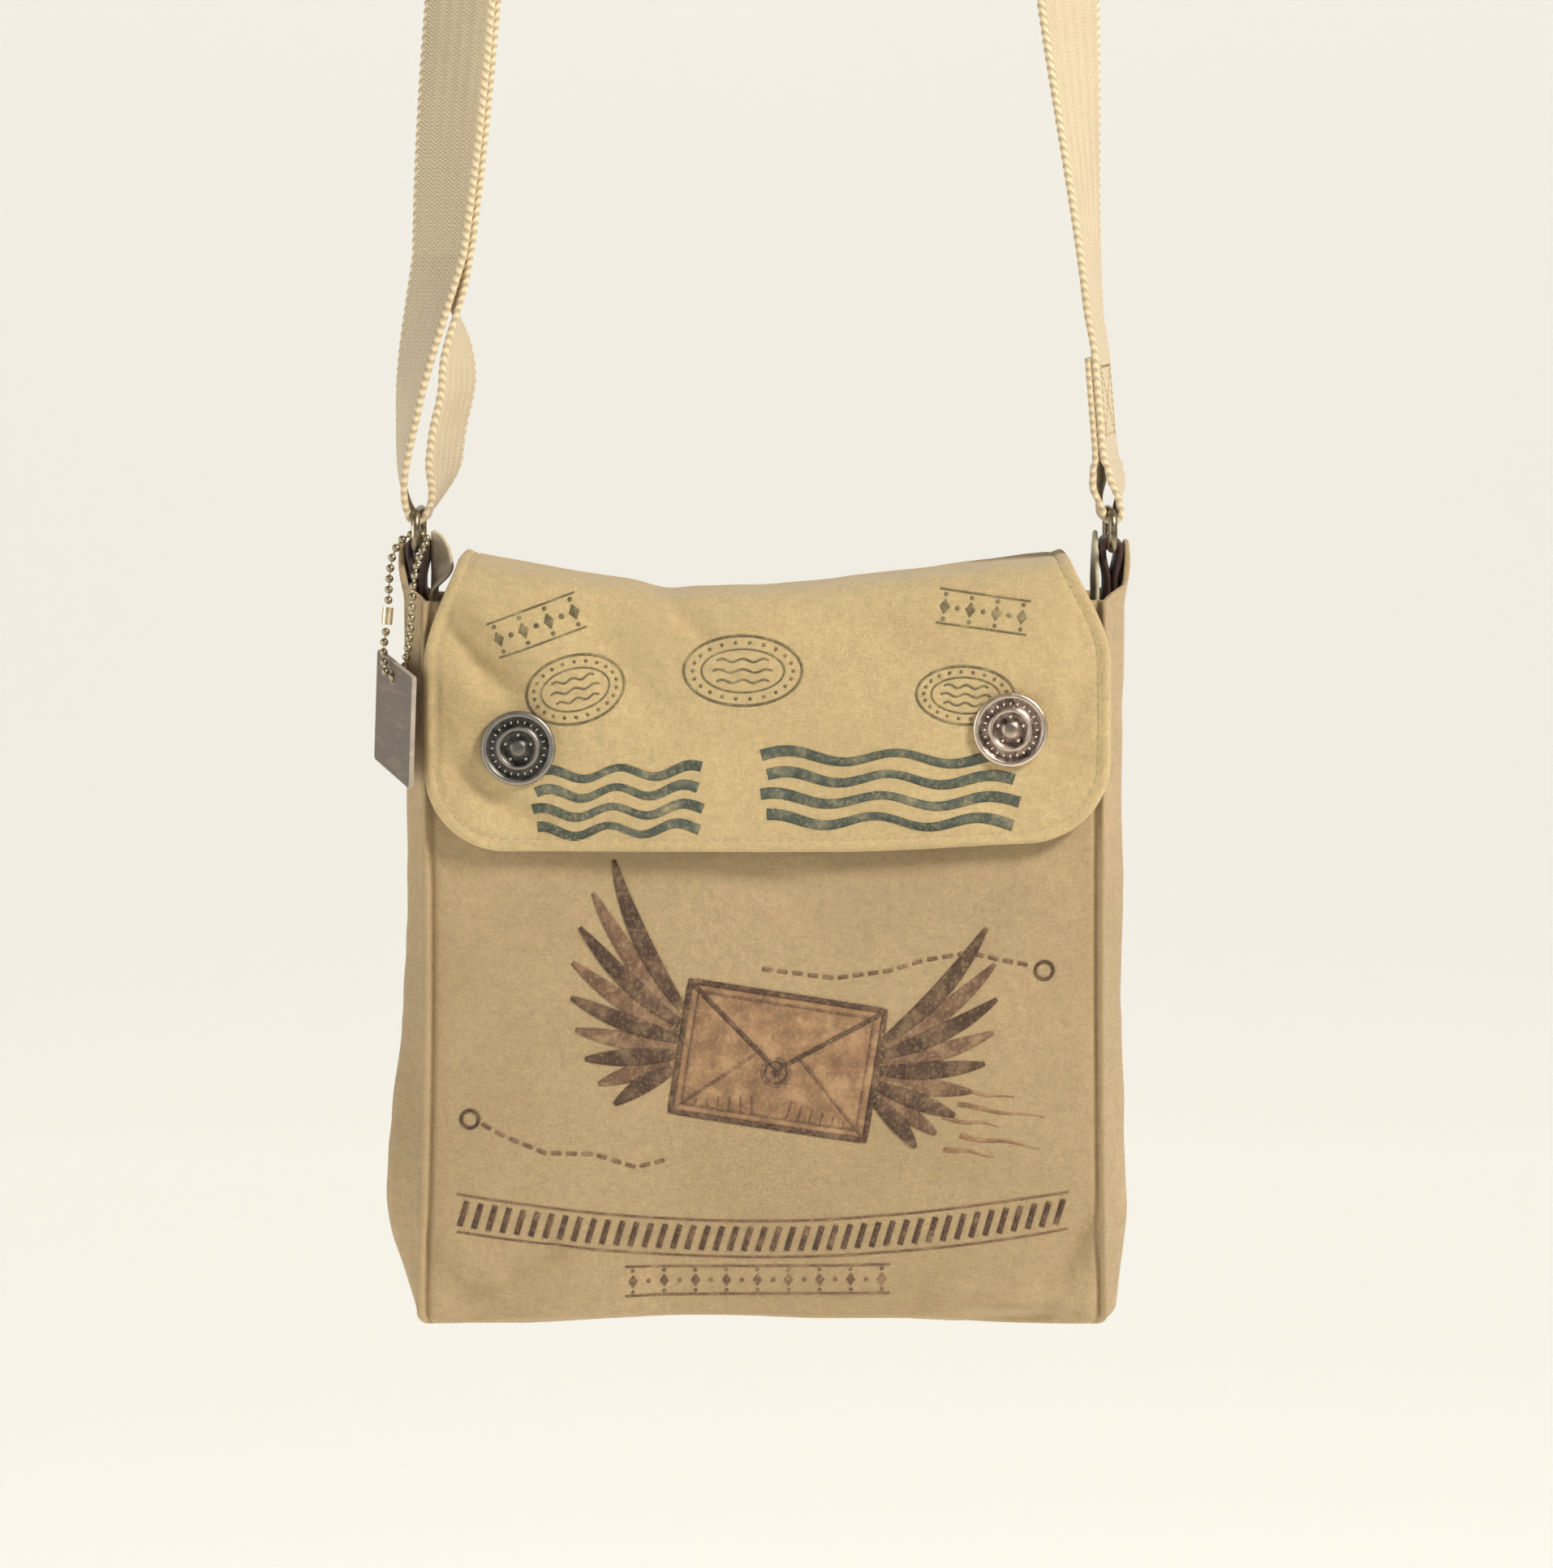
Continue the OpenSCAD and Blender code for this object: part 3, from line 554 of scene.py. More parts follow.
def shell_place(ring, z, cover, inset, squeeze, s):
    """A point of the pouch's cloth.

    ring runs 0 to 4 over front, right gusset, back and left gusset; cover is 1 outside and 0 inside.
    """
    side = int(min(3, ring))
    t = 2 * (ring - side) - 1
    if side in (0, 2):
        u = crowd(t, 1.5) * (1 if side == 0 else -1)
        half = panel_half_width(z, u)
        x = u * half
        inward = half - abs(x)
        folds, seed = PANEL_LOOKS[side]
        fade = ease(inward / 9)
        out = panel_out(x, z, folds, seed, s.belly) * fade
        out += cover * seam_profile(inward, s.ridge)
        y = BACK_Y + out - inset[1]
        x -= math.copysign(inset[0] * abs(u) ** 6, u)
        return x, (-y if side == 0 else y) * squeeze
    v = crowd(t, 1.55) * (1 if side == 1 else -1)
    sign = 1 if side == 1 else -1
    half = panel_half_width(z, sign)
    y = v * (BACK_Y + 0.1)
    depth = BACK_Y + 0.1 - abs(y)
    x = half + (GUSSET_X - EDGE_X) * ease((depth - 1.8) / 11)
    x -= cover * 1.7 * hump(depth - 2.0, 0.75) * (1 - ease((z - MOUTH_Z + 3) / 4))
    swell = s.puff if sign < 0 else 0.4
    bulge = swell * hump(z - 42, 46) * ease(depth / 14)
    bulge += (1.1 * waver(y, z, 30, 12 + sign) + 0.5 * waver(y, z, 11, 20 + sign)) * ease(depth / 12)
    bulge *= 1 - ease((z - 175) / 30)
    pinch = (7.5 if sign < 0 else 3.5) * (1 - ease(z / 36)) * ease(depth / 6)
    lean = 1.9 * ease((z - MOUTH_Z - 1) / 9)
    x += bulge - pinch + lean - inset[0]
    y -= math.copysign(inset[1] * abs(v) ** 6, v)
    return sign * x, y * squeeze


def shell_rows():
    """Rows of the cloth from the middle of the base, up the outside, over the hem and down the inside."""
    rows = [("base", q) for q in (0.0, 0.12, 0.28, 0.46, 0.64, 0.82)]
    rows += [("turn", k / 6) for k in range(7)]
    rows += [("wall", k / 84) for k in range(1, 85)]
    rows += [("hem", k / 6) for k in range(1, 7)]
    rows += [("inside", 1 - k / 44) for k in range(1, 45)]
    rows += [("floor", q) for q in (0.8, 0.5, 0.2, 0.0)]
    return rows


def shell_mesh(s):
    """The pouch's cloth as one closed skin."""
    rows = shell_rows()
    columns = 2 * (FRONT_COLUMNS + GUSSET_COLUMNS)
    bm = bmesh.new()
    grid(bm, columns, len(rows) - 1)
    breaks = [0, FRONT_COLUMNS, FRONT_COLUMNS + GUSSET_COLUMNS, columns - GUSSET_COLUMNS, columns]
    for vert in bm.verts:
        column = (vert.co.x + 1) / 2 * columns
        side = max(k for k in range(4) if breaks[k] <= column + 1e-6)
        part = (column - breaks[side]) / (breaks[side + 1] - breaks[side])
        ring = side + max(0.0, min(part, 1.0 - 1e-9))
        kind, f = rows[round((vert.co.y + 1) / 2 * (len(rows) - 1))]
        on_gusset = side in (1, 3)
        flat_x, flat_y = shell_place(ring, 60.0, 0, (0, 0), 1, s)
        low = base_height(flat_x)
        top = mouth_height(flat_x, flat_y, on_gusset, s.sag)
        inset, cover, squeeze = (0.0, 0.0), 1.0, 1.0
        if kind == "base":
            z, inset, squeeze, cover = low, (BASE_R, BASE_R), f, 0.0
        elif kind == "turn":
            a = f * math.pi / 2
            z = low + BASE_R * (1 - math.cos(a))
            inset = (BASE_R * (1 - math.sin(a)),) * 2
            cover = f
        elif kind == "wall":
            z = low + BASE_R + (top - low - BASE_R) * f
        elif kind == "hem":
            thick = WALL_T if on_gusset else FACED_T
            a = f * math.pi
            z = top + thick / 2 * math.sin(a)
            inset = (WALL_T / 2 * (1 - math.cos(a)), FACED_T / 2 * (1 - math.cos(a)))
            cover = 1 - f
        else:
            floor_z = low + WALL_T
            z = floor_z + (top - floor_z) * f if kind == "inside" else floor_z
            faced = ease((z - FACING_Z) / 1.5)
            deep = WALL_T + (FACED_T - WALL_T) * faced
            inset, cover = (WALL_T, deep), 0.0
            squeeze = f if kind == "floor" else 1.0
        x, y = shell_place(ring, z, cover, inset, squeeze, s)
        vert.co = (x, y, z)
    bmesh.ops.remove_doubles(bm, verts=bm.verts, dist=1e-4)
    bmesh.ops.dissolve_degenerate(bm, dist=1e-4, edges=bm.edges)
    bmesh.ops.recalc_face_normals(bm, faces=bm.faces)
    chart_flat(bm)
    return bm


def add_stitch(bm, middle, along, normal, length=2.2, radius=0.3):
    """One stitch: a flattened bead lying along the seam."""
    z = along.normalized()
    x = normal.cross(z).normalized()
    turn = Matrix((x, z.cross(x), z)).transposed().to_4x4()
    shape = Matrix.Translation(middle) @ turn @ Matrix.Diagonal((radius * 1.3, radius, length / 2, 1))
    bmesh.ops.create_icosphere(bm, subdivisions=1, radius=1.0, matrix=shape)


def stitch_line(bm, line, pitch, lift=0.12, length=2.2, radius=0.3):
    """Stitches at the pitch along points that carry their surface normals."""
    reach = 0.0
    for (a, normal), (b, _) in zip(line, line[1:]):
        step = b - a
        while reach < step.length:
            spot = a + step * (reach / step.length)
            add_stitch(bm, spot + normal * lift, step, normal, length, radius)
            reach += pitch
        reach -= step.length


class POUCH_OT_shell(bpy.types.Operator):
    """Loft the panels, base and gussets as one sagging pouch with sewn ridges"""
    bl_idname = "pouch.shell"
    bl_label = "Pouch"

    def execute(self, context):
        s = context.scene.pouch_body
        piece = make_piece("pouch_shell", shell_mesh(s), [finish("canvas")])
        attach(piece, "pouch")
        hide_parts("front_panel", "back_panel", "base_panel", "left_gusset", "right_gusset",
                    "front_facing", "back_facing")
        bm = bmesh.new()
        inward = 2.9
        for side, sign, normal in ((0, -1, Vector((0, -1, 0))), (2, 1, Vector((0, 1, 0)))):
            for edge in (-1, 1):
                line = []
                for k in range(106):
                    z = BASE_R + 3 + k * (MOUTH_Z - BASE_R - 8) / 105
                    half = panel_half_width(z, edge)
                    x = edge * (half - inward)
                    folds, seed = PANEL_LOOKS[side]
                    out = panel_out(x, z, folds, seed, s.belly) * ease(inward / 9)
                    out += seam_profile(inward, s.ridge)
                    line.append((Vector((x, sign * (BACK_Y + out), z)), normal))
                stitch_line(bm, line, s.stitch_pitch, lift=0.05, length=2.4, radius=0.2)
        # Stitches in the seam grooves; their dark thread is painted shade for the groove.
        seams = make_piece("seam_stitches", bm, [finish("seam_thread_painted_shade")])
        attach(seams, "pouch")
        return {"FINISHED"}


# ---------------------------------------------------------------- flap

class FlapSettings(bpy.types.PropertyGroup):
    dip: FloatProperty(
        name="Dip", description="How far the middle of the flap's top hangs down, in millimetres",
        default=9.0, min=0, max=12)
    lift: FloatProperty(
        name="Corner lift", description="How far the flap's top corners stand up, in millimetres",
        default=3.5, min=0, max=8)
    pillow: FloatProperty(
        name="Pillow", description="How far the cloth stands out between the snaps, in millimetres",
        default=1.5, min=0, max=5)
    corner: FloatProperty(
        name="Corner radius", description="Radius of the lower corners, in millimetres",
        default=24.0, min=10, max=40)
    thickness: FloatProperty(
        name="Thickness", description="Thickness of the flap with its lining, in millimetres",
        default=1.8, min=1, max=3)


BACK_BEND = 8.0
FRONT_BEND = 10.0
LEG_UP = FLAP_TOP_Z - BACK_BEND - FLAP_ROOT_Z
TOP_RUN = BACK_Y - BACK_BEND - (FLAP_Y + FRONT_BEND)
FOLD_AT = LEG_UP + BACK_BEND * math.pi / 2 + TOP_RUN
FRONT_AT = FOLD_AT + FRONT_BEND * math.pi / 2
FLAP_LEN = FRONT_AT + FLAP_TOP_Z - FRONT_BEND - FLAP_LOW_Z
DIP_X = -15.0
FLAP_COLUMNS = 180
FLAP_EDGE_R = 1.2
TOP_HALF = 90.0
FRONT_SPREAD = 10.6
FLAP_FOLDS = [
    (-34, 222, -18, 206, 5.0, -1.6), (-18, 218, 4, 212, 6.0, 0.9), (-92, 208, -72, 184, 7.5, -2.0),
    (-82, 212, -58, 196, 9.0, 0.9), (-90, 166, -68, 150, 6.5, -1.5), (-60, 160, -30, 150, 9.0, 0.7),
    (20, 214, 50, 196, 11.0, -0.8), (96, 196, 84, 170, 7.0, -1.0), (92, 166, 70, 152, 6.5, -1.2),
    (-20, 176, 20, 164, 12.0, -0.6), (30, 158, 60, 150, 7.0, 0.8), (-48, 206, -30, 180, 9.0, -0.8),
]
SNAPS = [bench_box("left_snap_cap"), bench_box("right_snap_cap")]
SNAP_SPOTS = [((low.x + high.x) / 2, (low.z + high.z) / 2) for low, high in SNAPS]


def flap_path(s):
    """The flap's outer face in profile: (y, z) and its outward normal at path length s."""
    if s < LEG_UP:
        return BACK_Y, FLAP_ROOT_Z + s, 1.0, 0.0
    s -= LEG_UP
    if s < BACK_BEND * math.pi / 2:
        a = s / BACK_BEND
        y, z = BACK_Y - BACK_BEND, FLAP_TOP_Z - BACK_BEND
        return y + BACK_BEND * math.cos(a), z + BACK_BEND * math.sin(a), math.cos(a), math.sin(a)
    s -= BACK_BEND * math.pi / 2
    if s < TOP_RUN:
        return BACK_Y - BACK_BEND - s, FLAP_TOP_Z, 0.0, 1.0
    s -= TOP_RUN
    if s < FRONT_BEND * math.pi / 2:
        a = math.pi / 2 + s / FRONT_BEND
        y, z = FLAP_Y + FRONT_BEND, FLAP_TOP_Z - FRONT_BEND
        return y + FRONT_BEND * math.cos(a), z + FRONT_BEND * math.sin(a), math.cos(a), math.sin(a)
    s -= FRONT_BEND * math.pi / 2
    return FLAP_Y, FLAP_TOP_Z - FRONT_BEND - s, -1.0, 0.0


def flap_side(s):
    """Half the flap's width without its corners: narrow over the mouth, full down the front."""
    return TOP_HALF + FRONT_SPREAD * ease((s - FOLD_AT - 2) / 34)


def flap_half_width(s, corner):
    """Half the flap's width, with its round corners."""
    wide = flap_side(s)
    past = s - (FLAP_LEN - corner)
    if past > 0:
        wide -= corner - math.sqrt(max(0.0, corner * corner - past * past))
    return wide


def flap_edge_distance(x, s, corner):
    """Distance from a point of the flap to its nearest cut edge."""
    beside, below = flap_side(s) - abs(x), FLAP_LEN - s
    if beside < corner and below < corner:
        return max(0.0, corner - math.hypot(corner - beside, corner - below))
    return max(0.0, min(beside, below, s))


def flap_surface(x, s, f):
    """A point of the flap's outer face, and its normal, with the sag, folds and pillows."""
    y, z, ny, nz = flap_path(s)
    top = ease((s - 0.5) / 9) * (1 - ease((s - FRONT_AT + 4) / 34))
    reach = 76.0 if x < DIP_X else 104.0
    away = abs(x - DIP_X) / reach
    rise = -f.dip + (f.dip + f.lift) * (math.sqrt(away * away + 0.02) - 0.1414) ** 1.05
    z += rise * top
    hang = ease((s - FOLD_AT - 4) / 26)
    near = max(hump(math.hypot(x - sx, z - sz), 15) for sx, sz in SNAP_SPOTS)
    free = 1 - near
    edge = flap_edge_distance(x, s, f.corner)
    out = 2.3 * creases(x, z, FLAP_FOLDS) * (0.35 + 0.65 * hang) * free
    out += 0.75 * waver(x, s, 38, 31) * free + 0.3 * waver(x, s, 14, 37) * free + 0.1 * waver(x, s, 6, 41)
    out += f.pillow * hang * free * math.cos(0.5 * math.pi * min(1.0, abs(x) / 100)) ** 0.5
    out += 1.1 * ease((s - FLAP_LEN + 26) / 26) * (0.45 + 0.55 * math.sin(x / 24 + 0.6)) * free
    out += 0.45 * hump(edge - 1.7, 1.2) - 0.3 * hump(edge - 4.0, 0.8)
    tilt = (2.6 * ease((x - 20) / 70) - 0.4) * ease((s - FRONT_AT) / 60)
    back = 1.4 * ease((abs(x) - 84) / 12) * hump(s - FRONT_AT, 16)
    point_now = Vector((x + 0.9 * hang, y + ny * out + back, z + nz * out + tilt))
    return point_now, Vector((0, ny, nz)), edge


def flap_rows(corner):
    """Path lengths of the flap's rows, closer together at both ends."""
    straight = FLAP_LEN - corner
    rows = [0.0, 0.15, 0.45, 0.9]
    rows += [0.9 + (straight - 0.9) * k / 112 for k in range(1, 113)]
    rows += [straight + corner * math.sin(k / 34 * math.pi / 2) for k in range(1, 35)]
    return rows


def flap_mesh(f):
    """Outer and inner face of the flap, drawn together in a round edge."""
    rows = flap_rows(f.corner)
    bm = bmesh.new()
    two_skins(bm, FLAP_COLUMNS, len(rows) - 1)
    for vert in bm.verts:
        s = rows[round((vert.co.y + 1) / 2 * (len(rows) - 1))]
        x = crowd(vert.co.x, 1.35) * flap_half_width(s, f.corner)
        outer, normal, edge = flap_surface(x, s, f)
        half = f.thickness / 2
        vert.co = outer - normal * half + normal * half * rolled(edge, FLAP_EDGE_R) * (1 - 2 * vert.co.z)
    outer_count = len(bm.faces) // 2
    for face in list(bm.faces)[outer_count:]:
        face.material_index = 1
    bmesh.ops.remove_doubles(bm, verts=bm.verts, dist=2e-3)
    bmesh.ops.dissolve_degenerate(bm, dist=1e-4, edges=bm.edges)
    bmesh.ops.recalc_face_normals(bm, faces=bm.faces)
    chart_flat(bm)
    return bm


def flap_seams(f):
    """The topstitching's runs of (x, path length): each side, each corner, and the lower edge."""
    inset = 3.6
    straight = FLAP_LEN - f.corner
    reach = f.corner - inset
    corner_x = flap_half_width(straight, f.corner) - f.corner
    side = [12 + (straight - 12) * k / 150 for k in range(151)]
    corner = [k / 30 * math.pi / 2 for k in range(31)]
    runs = []
    for sign in (-1, 1):
        runs.append([(sign * (flap_half_width(s, f.corner) - inset), s) for s in side])
        runs.append([
            (sign * (corner_x + reach * math.cos(a)), straight + reach * math.sin(a)) for a in corner
        ])
    end_x = flap_half_width(FLAP_LEN, f.corner)
    runs.append([(end_x * (2 * k / 120 - 1), FLAP_LEN - inset) for k in range(121)])
    return runs


def blend_flap(piece):
    """Bakes the piece's placement into its mesh."""
    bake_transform(piece)


class POUCH_OT_flap(bpy.types.Operator):
    """Make the lined flap with its rolled edge, sewn tape and topstitching"""
    bl_idname = "pouch.flap"
    bl_label = "Flap"

    def execute(self, context):
        f = context.scene.pouch_flap
        flap = make_piece("flap", flap_mesh(f), [finish("flap_canvas"), finish("lining_canvas")])
        blend_flap(flap)
        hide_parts("flap_top", "flap_top_lining", "flap_front", "flap_front_lining")

        bm = bmesh.new()
        for spots in flap_seams(f):
            line = [flap_surface(x, s, f)[:2] for x, s in spots]
            stitch_line(bm, line, 3.1, lift=0.02, radius=0.22)
        stitches = make_piece("flap_stitches", bm, [finish("thread")])
        blend_flap(stitches)

        bm = bmesh.new()
        two_skins(bm, 120, 22)
        half_long, half_high = TOP_HALF - 1, 6
        for vert in bm.verts:
            x = crowd(vert.co.x, 1.3) * half_long
            z = FLAP_ROOT_Z + half_high * vert.co.y
            beside = min(half_long - abs(x), half_high - abs(z - FLAP_ROOT_Z))
            thick = 0.9 * rolled(beside, 0.8)
            sag = -0.8 * f.dip * hump(x - DIP_X, 52)
            lap = 1.0 + 0.25 * waver(x, z, 20, 50) + 0.35 * hump(abs(z - FLAP_ROOT_Z) - 4.2, 0.7)
            vert.co = (x, BACK_Y + 0.35 + lap - thick * vert.co.z, z + sag)
        bmesh.ops.remove_doubles(bm, verts=bm.verts, dist=2e-3)
        bmesh.ops.recalc_face_normals(bm, faces=bm.faces)
        chart_flat(bm)
        tape = make_piece("flap_root_tape", bm, [finish("canvas")])
        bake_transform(tape)
        return {"FINISHED"}


# ---------------------------------------------------------------- strap

class StrapSettings(bpy.types.PropertyGroup):
    right_twist: FloatProperty(
        name="Right twist", description="Turn of the right leg at its widest, in degrees",
        default=60.0, min=0, max=85)
    left_twist: FloatProperty(
        name="Left twist", description="Turn of the left leg at its widest, in degrees",
        default=58.0, min=0, max=85)
    parting: FloatProperty(
        name="Parting", description="How far the left leg's two plies stand apart, in millimetres",
        default=12.5, min=2, max=20)
    scallop: FloatProperty(
        name="Selvedge loops", description="Depth of the loops along the webbing's edges, in millimetres",
        default=0.25, min=0, max=0.6)


# The webbing's section from its edge towards its middle: place across and through, as shares of 1
WEB_SIDE = [(1.0, 0.0), (0.985, 0.7), (0.94, 1.0), (0.6, 1.0), (0.2, 1.0)]


def web_profile():
    upper = WEB_SIDE + [(-a, n) for a, n in reversed(WEB_SIDE)]
    return upper + [(-a, -n) for a, n in upper[1:]]


def ribbon(bm, frames, width, thick, scallop=0.0, pitch=2.6):
    """A flat band through (middle, across, out, length) frames, with round edges."""
    profile = web_profile()
    around, along = len(profile) - 1, len(frames) - 1
    verts = grid(bm, around, along)

    def place(co):
        column, row = round((co.x + 1) / 2 * around), round((co.y + 1) / 2 * along)
        return profile[column], frames[row]

    def weave(co):
        (a, _), frame_now = place(co)
        return a * width / 2, frame_now[3]

    chart(bm, weave)
    for vert in verts:
        (a, n), (middle, across, out, length) = place(vert.co)
        loops = scallop * math.sin(2 * math.pi * length / pitch) * (1 if abs(a) > 0.9 else 0)
        vert.co = middle + across * a * (width / 2 + loops) + out * n * thick / 2
    bmesh.ops.remove_doubles(bm, verts=bm.verts, dist=1e-4)
    bmesh.ops.holes_fill(bm, edges=[e for e in bm.edges if e.is_boundary], sides=0)
    bmesh.ops.recalc_face_normals(bm, faces=bm.faces)


def measured(places):
    """Adds the length so far to (middle, across, out) places."""
    length, frames = 0.0, []
    for k, (middle, across, out) in enumerate(places):
        if k:
            length += (middle - places[k - 1][0]).length
        frames.append((middle, across, out, length))
    return frames


def leg_x(z):
    """Distance of a leg's middle from the pouch's centre line."""
    return RING_X - (z - TOP_BAR_Z) * math.tan(LEAN)


def turned(x, z, shift, turn, side):
    """A place on a leg whose webbing is turned about the leg and shifted through itself."""
    a = math.radians(turn)
    out = Vector((math.cos(a), math.sin(a), 0))
    across = Vector((-math.sin(a), math.cos(a), 0))
    return Vector((x, 0, z)) + out * shift, across, out * side


WRAP_R = 2.55
HALF_TURN = [math.pi * k / 14 for k in range(1, 14)]


def round_bar(x, z, radius, angle, side=1):
    """A place on a band that passes round a bar lying along Y."""
    out = Vector((side * math.cos(angle), 0, math.sin(angle)))
    return Vector((x, 0, z)) + out * radius, Vector((0, 1, 0)), out


def left_turns(z, s):
    """Turn of the left leg's main and return plies at a height."""
    rise = z - TOP_BAR_Z
    top = ease((LEG_TOP_Z - z) / 62)
    main = s.left_twist * math.sin(math.pi / 2 * min(1.0, rise / 150)) * top
    back = -20 * ease(rise / 16)
    return main, back + (main - back) * ease((z - 280) / 40)


def left_shifts(z, s):
    """Shift of the left leg's main and return plies through themselves at a height."""
    rise = z - TOP_BAR_Z
    start = WRAP_R * (1 - ease(rise / 30))
    gap = s.parting * math.sin(math.pi * min(1.0, rise / 75.5) ** 0.75)
    return -start - 0.45 * gap, start + 0.55 * gap + 2.5 * ease((rise - 20) / 20)


def heights(low, high, step):
    """Evenly spaced values from low to high, about a step apart."""
    count = round(abs(high - low) / step)
    return [low + (high - low) * k / count for k in range(count + 1)]


RIGHT_BORE = [(0, 1.55), (6, 2.1), (13, 1.24), (16, 0.2), (20, 0.0), (60, 0.0)]
SEWN = 46.0


def bore(u):
    """Half the opening between the right loop's two strands at u along the leg."""
    for (u0, b0), (u1, b1) in zip(RIGHT_BORE, RIGHT_BORE[1:]):
        if u <= u1:
            return b0 + (b1 - b0) * ease((u - u0) / (u1 - u0))
    return 0.0


def right_strand(u, side):
    """Place of the right loop's outer (1) or inner (-1) strand."""
    a = math.radians(-12 * ease(u / 10))
    up = Vector((-math.sin(LEAN), 0, math.cos(LEAN)))
    flat = Vector((math.cos(LEAN), 0, math.sin(LEAN)))
    out = flat * math.cos(a) + Vector((0, math.sin(a), 0))
    across = up.cross(out)
    middle = Vector((RING_X, 0, TOP_BAR_Z)) + up * u + out * side * (1.0 + bore(u))
    return middle, across, out * side


def strap_places(s):
    """The whole strap as one run of webbing, from its free tail to the right loop's end."""
    places = []
    for z in heights(TAIL_Z, TOP_BAR_Z + 0.1, 0.75):
        places.append(turned(-leg_x(z), z, left_shifts(z, s)[1], left_turns(z, s)[1], 1))
    for a in HALF_TURN:
        places.append(round_bar(-RING_X, TOP_BAR_Z, WRAP_R, -a))
    for z in heights(TOP_BAR_Z + 0.1, LEG_TOP_Z, 0.7):
        places.append(turned(-leg_x(z), z, left_shifts(z, s)[0], left_turns(z, s)[0], -1))
    radius = leg_x(LEG_TOP_Z) / math.cos(LEAN)
    centre = LEG_TOP_Z - radius * math.sin(LEAN)
    for k in range(1, 200):
        places.append(round_bar(0, centre, radius, math.radians(175 - 170 * k / 200)))
    for z in heights(LEG_TOP_Z, LEG_FOOT_Z, 0.7):
        turn = -(12 + (s.right_twist - 12) * ease((z - LEG_FOOT_Z) / 153)) * ease((LEG_TOP_Z - z) / 62)
        places.append(turned(leg_x(z), z, 1.0 - ease((z - LEG_FOOT_Z) / 14), turn, 1))
    for u in heights(SEWN - 0.8, 0.0, 0.7):
        places.append(right_strand(u, 1))
    for a in HALF_TURN:
        places.append(round_bar(RING_X, TOP_BAR_Z, WRAP_R, LEAN - a))
    for u in heights(0.0, SEWN, 0.7):
        places.append(right_strand(u, -1))
    return places


class POUCH_OT_strap(bpy.types.Operator):
    """Run one length of webbing from its tail through the left ring, over the top and round the right ring"""
    bl_idname = "pouch.strap"
    bl_label = "Strap"

    def execute(self, context):
        s = context.scene.pouch_strap
        bm = bmesh.new()
        ribbon(bm, measured(strap_places(s)), WEB_W, WEB_T, s.scallop)
        piece = make_piece("strap_webbing", bm, [finish("webbing")])
        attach(piece, "strap")
        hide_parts("strap_crown", "strap_right_leg", "strap_right_loop", "strap_left_loop",
                    "strap_left_main_leg", "strap_left_return_leg")

        bm = bmesh.new()
        low, high, wide = 23.0, 43.0, WEB_W / 2 - 3.5
        corners = [(low, -wide), (low, wide), (high, wide), (high, -wide), (low, -wide), (high, wide),
                   (high, -wide), (low, wide)]
        for side in (-1, 1):
            for (u0, a0), (u1, a1) in zip(corners, corners[1:]):
                line = []
                for k in range(21):
                    u, a = u0 + (u1 - u0) * k / 20, a0 + (a1 - a0) * k / 20
                    middle, across, out = right_strand(u, side)
                    line.append((middle + across * a + out * WEB_T / 2, out))
                stitch_line(bm, line, 2.4, lift=0.1, length=1.9, radius=0.28)
        sewing = make_piece("strap_stitches", bm, [finish("thread")])
        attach(sewing, "strap")
        return {"FINISHED"}


# ---------------------------------------------------------------- fittings

class FittingSettings(bpy.types.PropertyGroup):
    ear_curl: FloatProperty(
        name="Ear curl", description="How far the left ear's front edge bends inward, in degrees",
        default=64.0, min=0, max=70)
    ticks: IntProperty(
        name="Ticks", description="Number of raised ticks around each snap cap",
        default=24, min=8, max=40)


def tab_places(side):
    """Leather from its foot outside the ring's bar, over it and down to the inner foot."""
    places = []

    def ply(z, way):
        """The outer (1) or inner (-1) ply at a height, closing on the other below the bar."""
        off = 0.97 + 1.53 * ease((z - 220) / 9)
        return Vector((side * (RING_X + way * off), 0, z)), Vector((0, 1, 0)), Vector((side * way, 0, 0))

    for z in heights(TAB_FOOT_Z, LOW_BAR_Z, 1.0):
        places.append(ply(z, 1))
    for a in HALF_TURN:
        places.append(round_bar(side * RING_X, LOW_BAR_Z, 2.5, a, side))
    for z in heights(LOW_BAR_Z, TAB_FOOT_Z, 1.0):
        places.append(ply(z, -1))
    return places


def plate(bm, place, across, along, thick, edge_r):
    """A thin two-skinned plate; place(u, v) gives its middle, its normal and its edge distance."""
    two_skins(bm, across, along)
    for vert in bm.verts:
        middle, normal, edge = place(vert.co.x, (vert.co.y + 1) / 2)
        vert.co = middle + normal * thick / 2 * rolled(edge, edge_r) * (1 - 2 * vert.co.z)
    bmesh.ops.remove_doubles(bm, verts=bm.verts, dist=1e-3)
    bmesh.ops.dissolve_degenerate(bm, dist=1e-4, edges=bm.edges)
    bmesh.ops.recalc_face_normals(bm, faces=bm.faces)


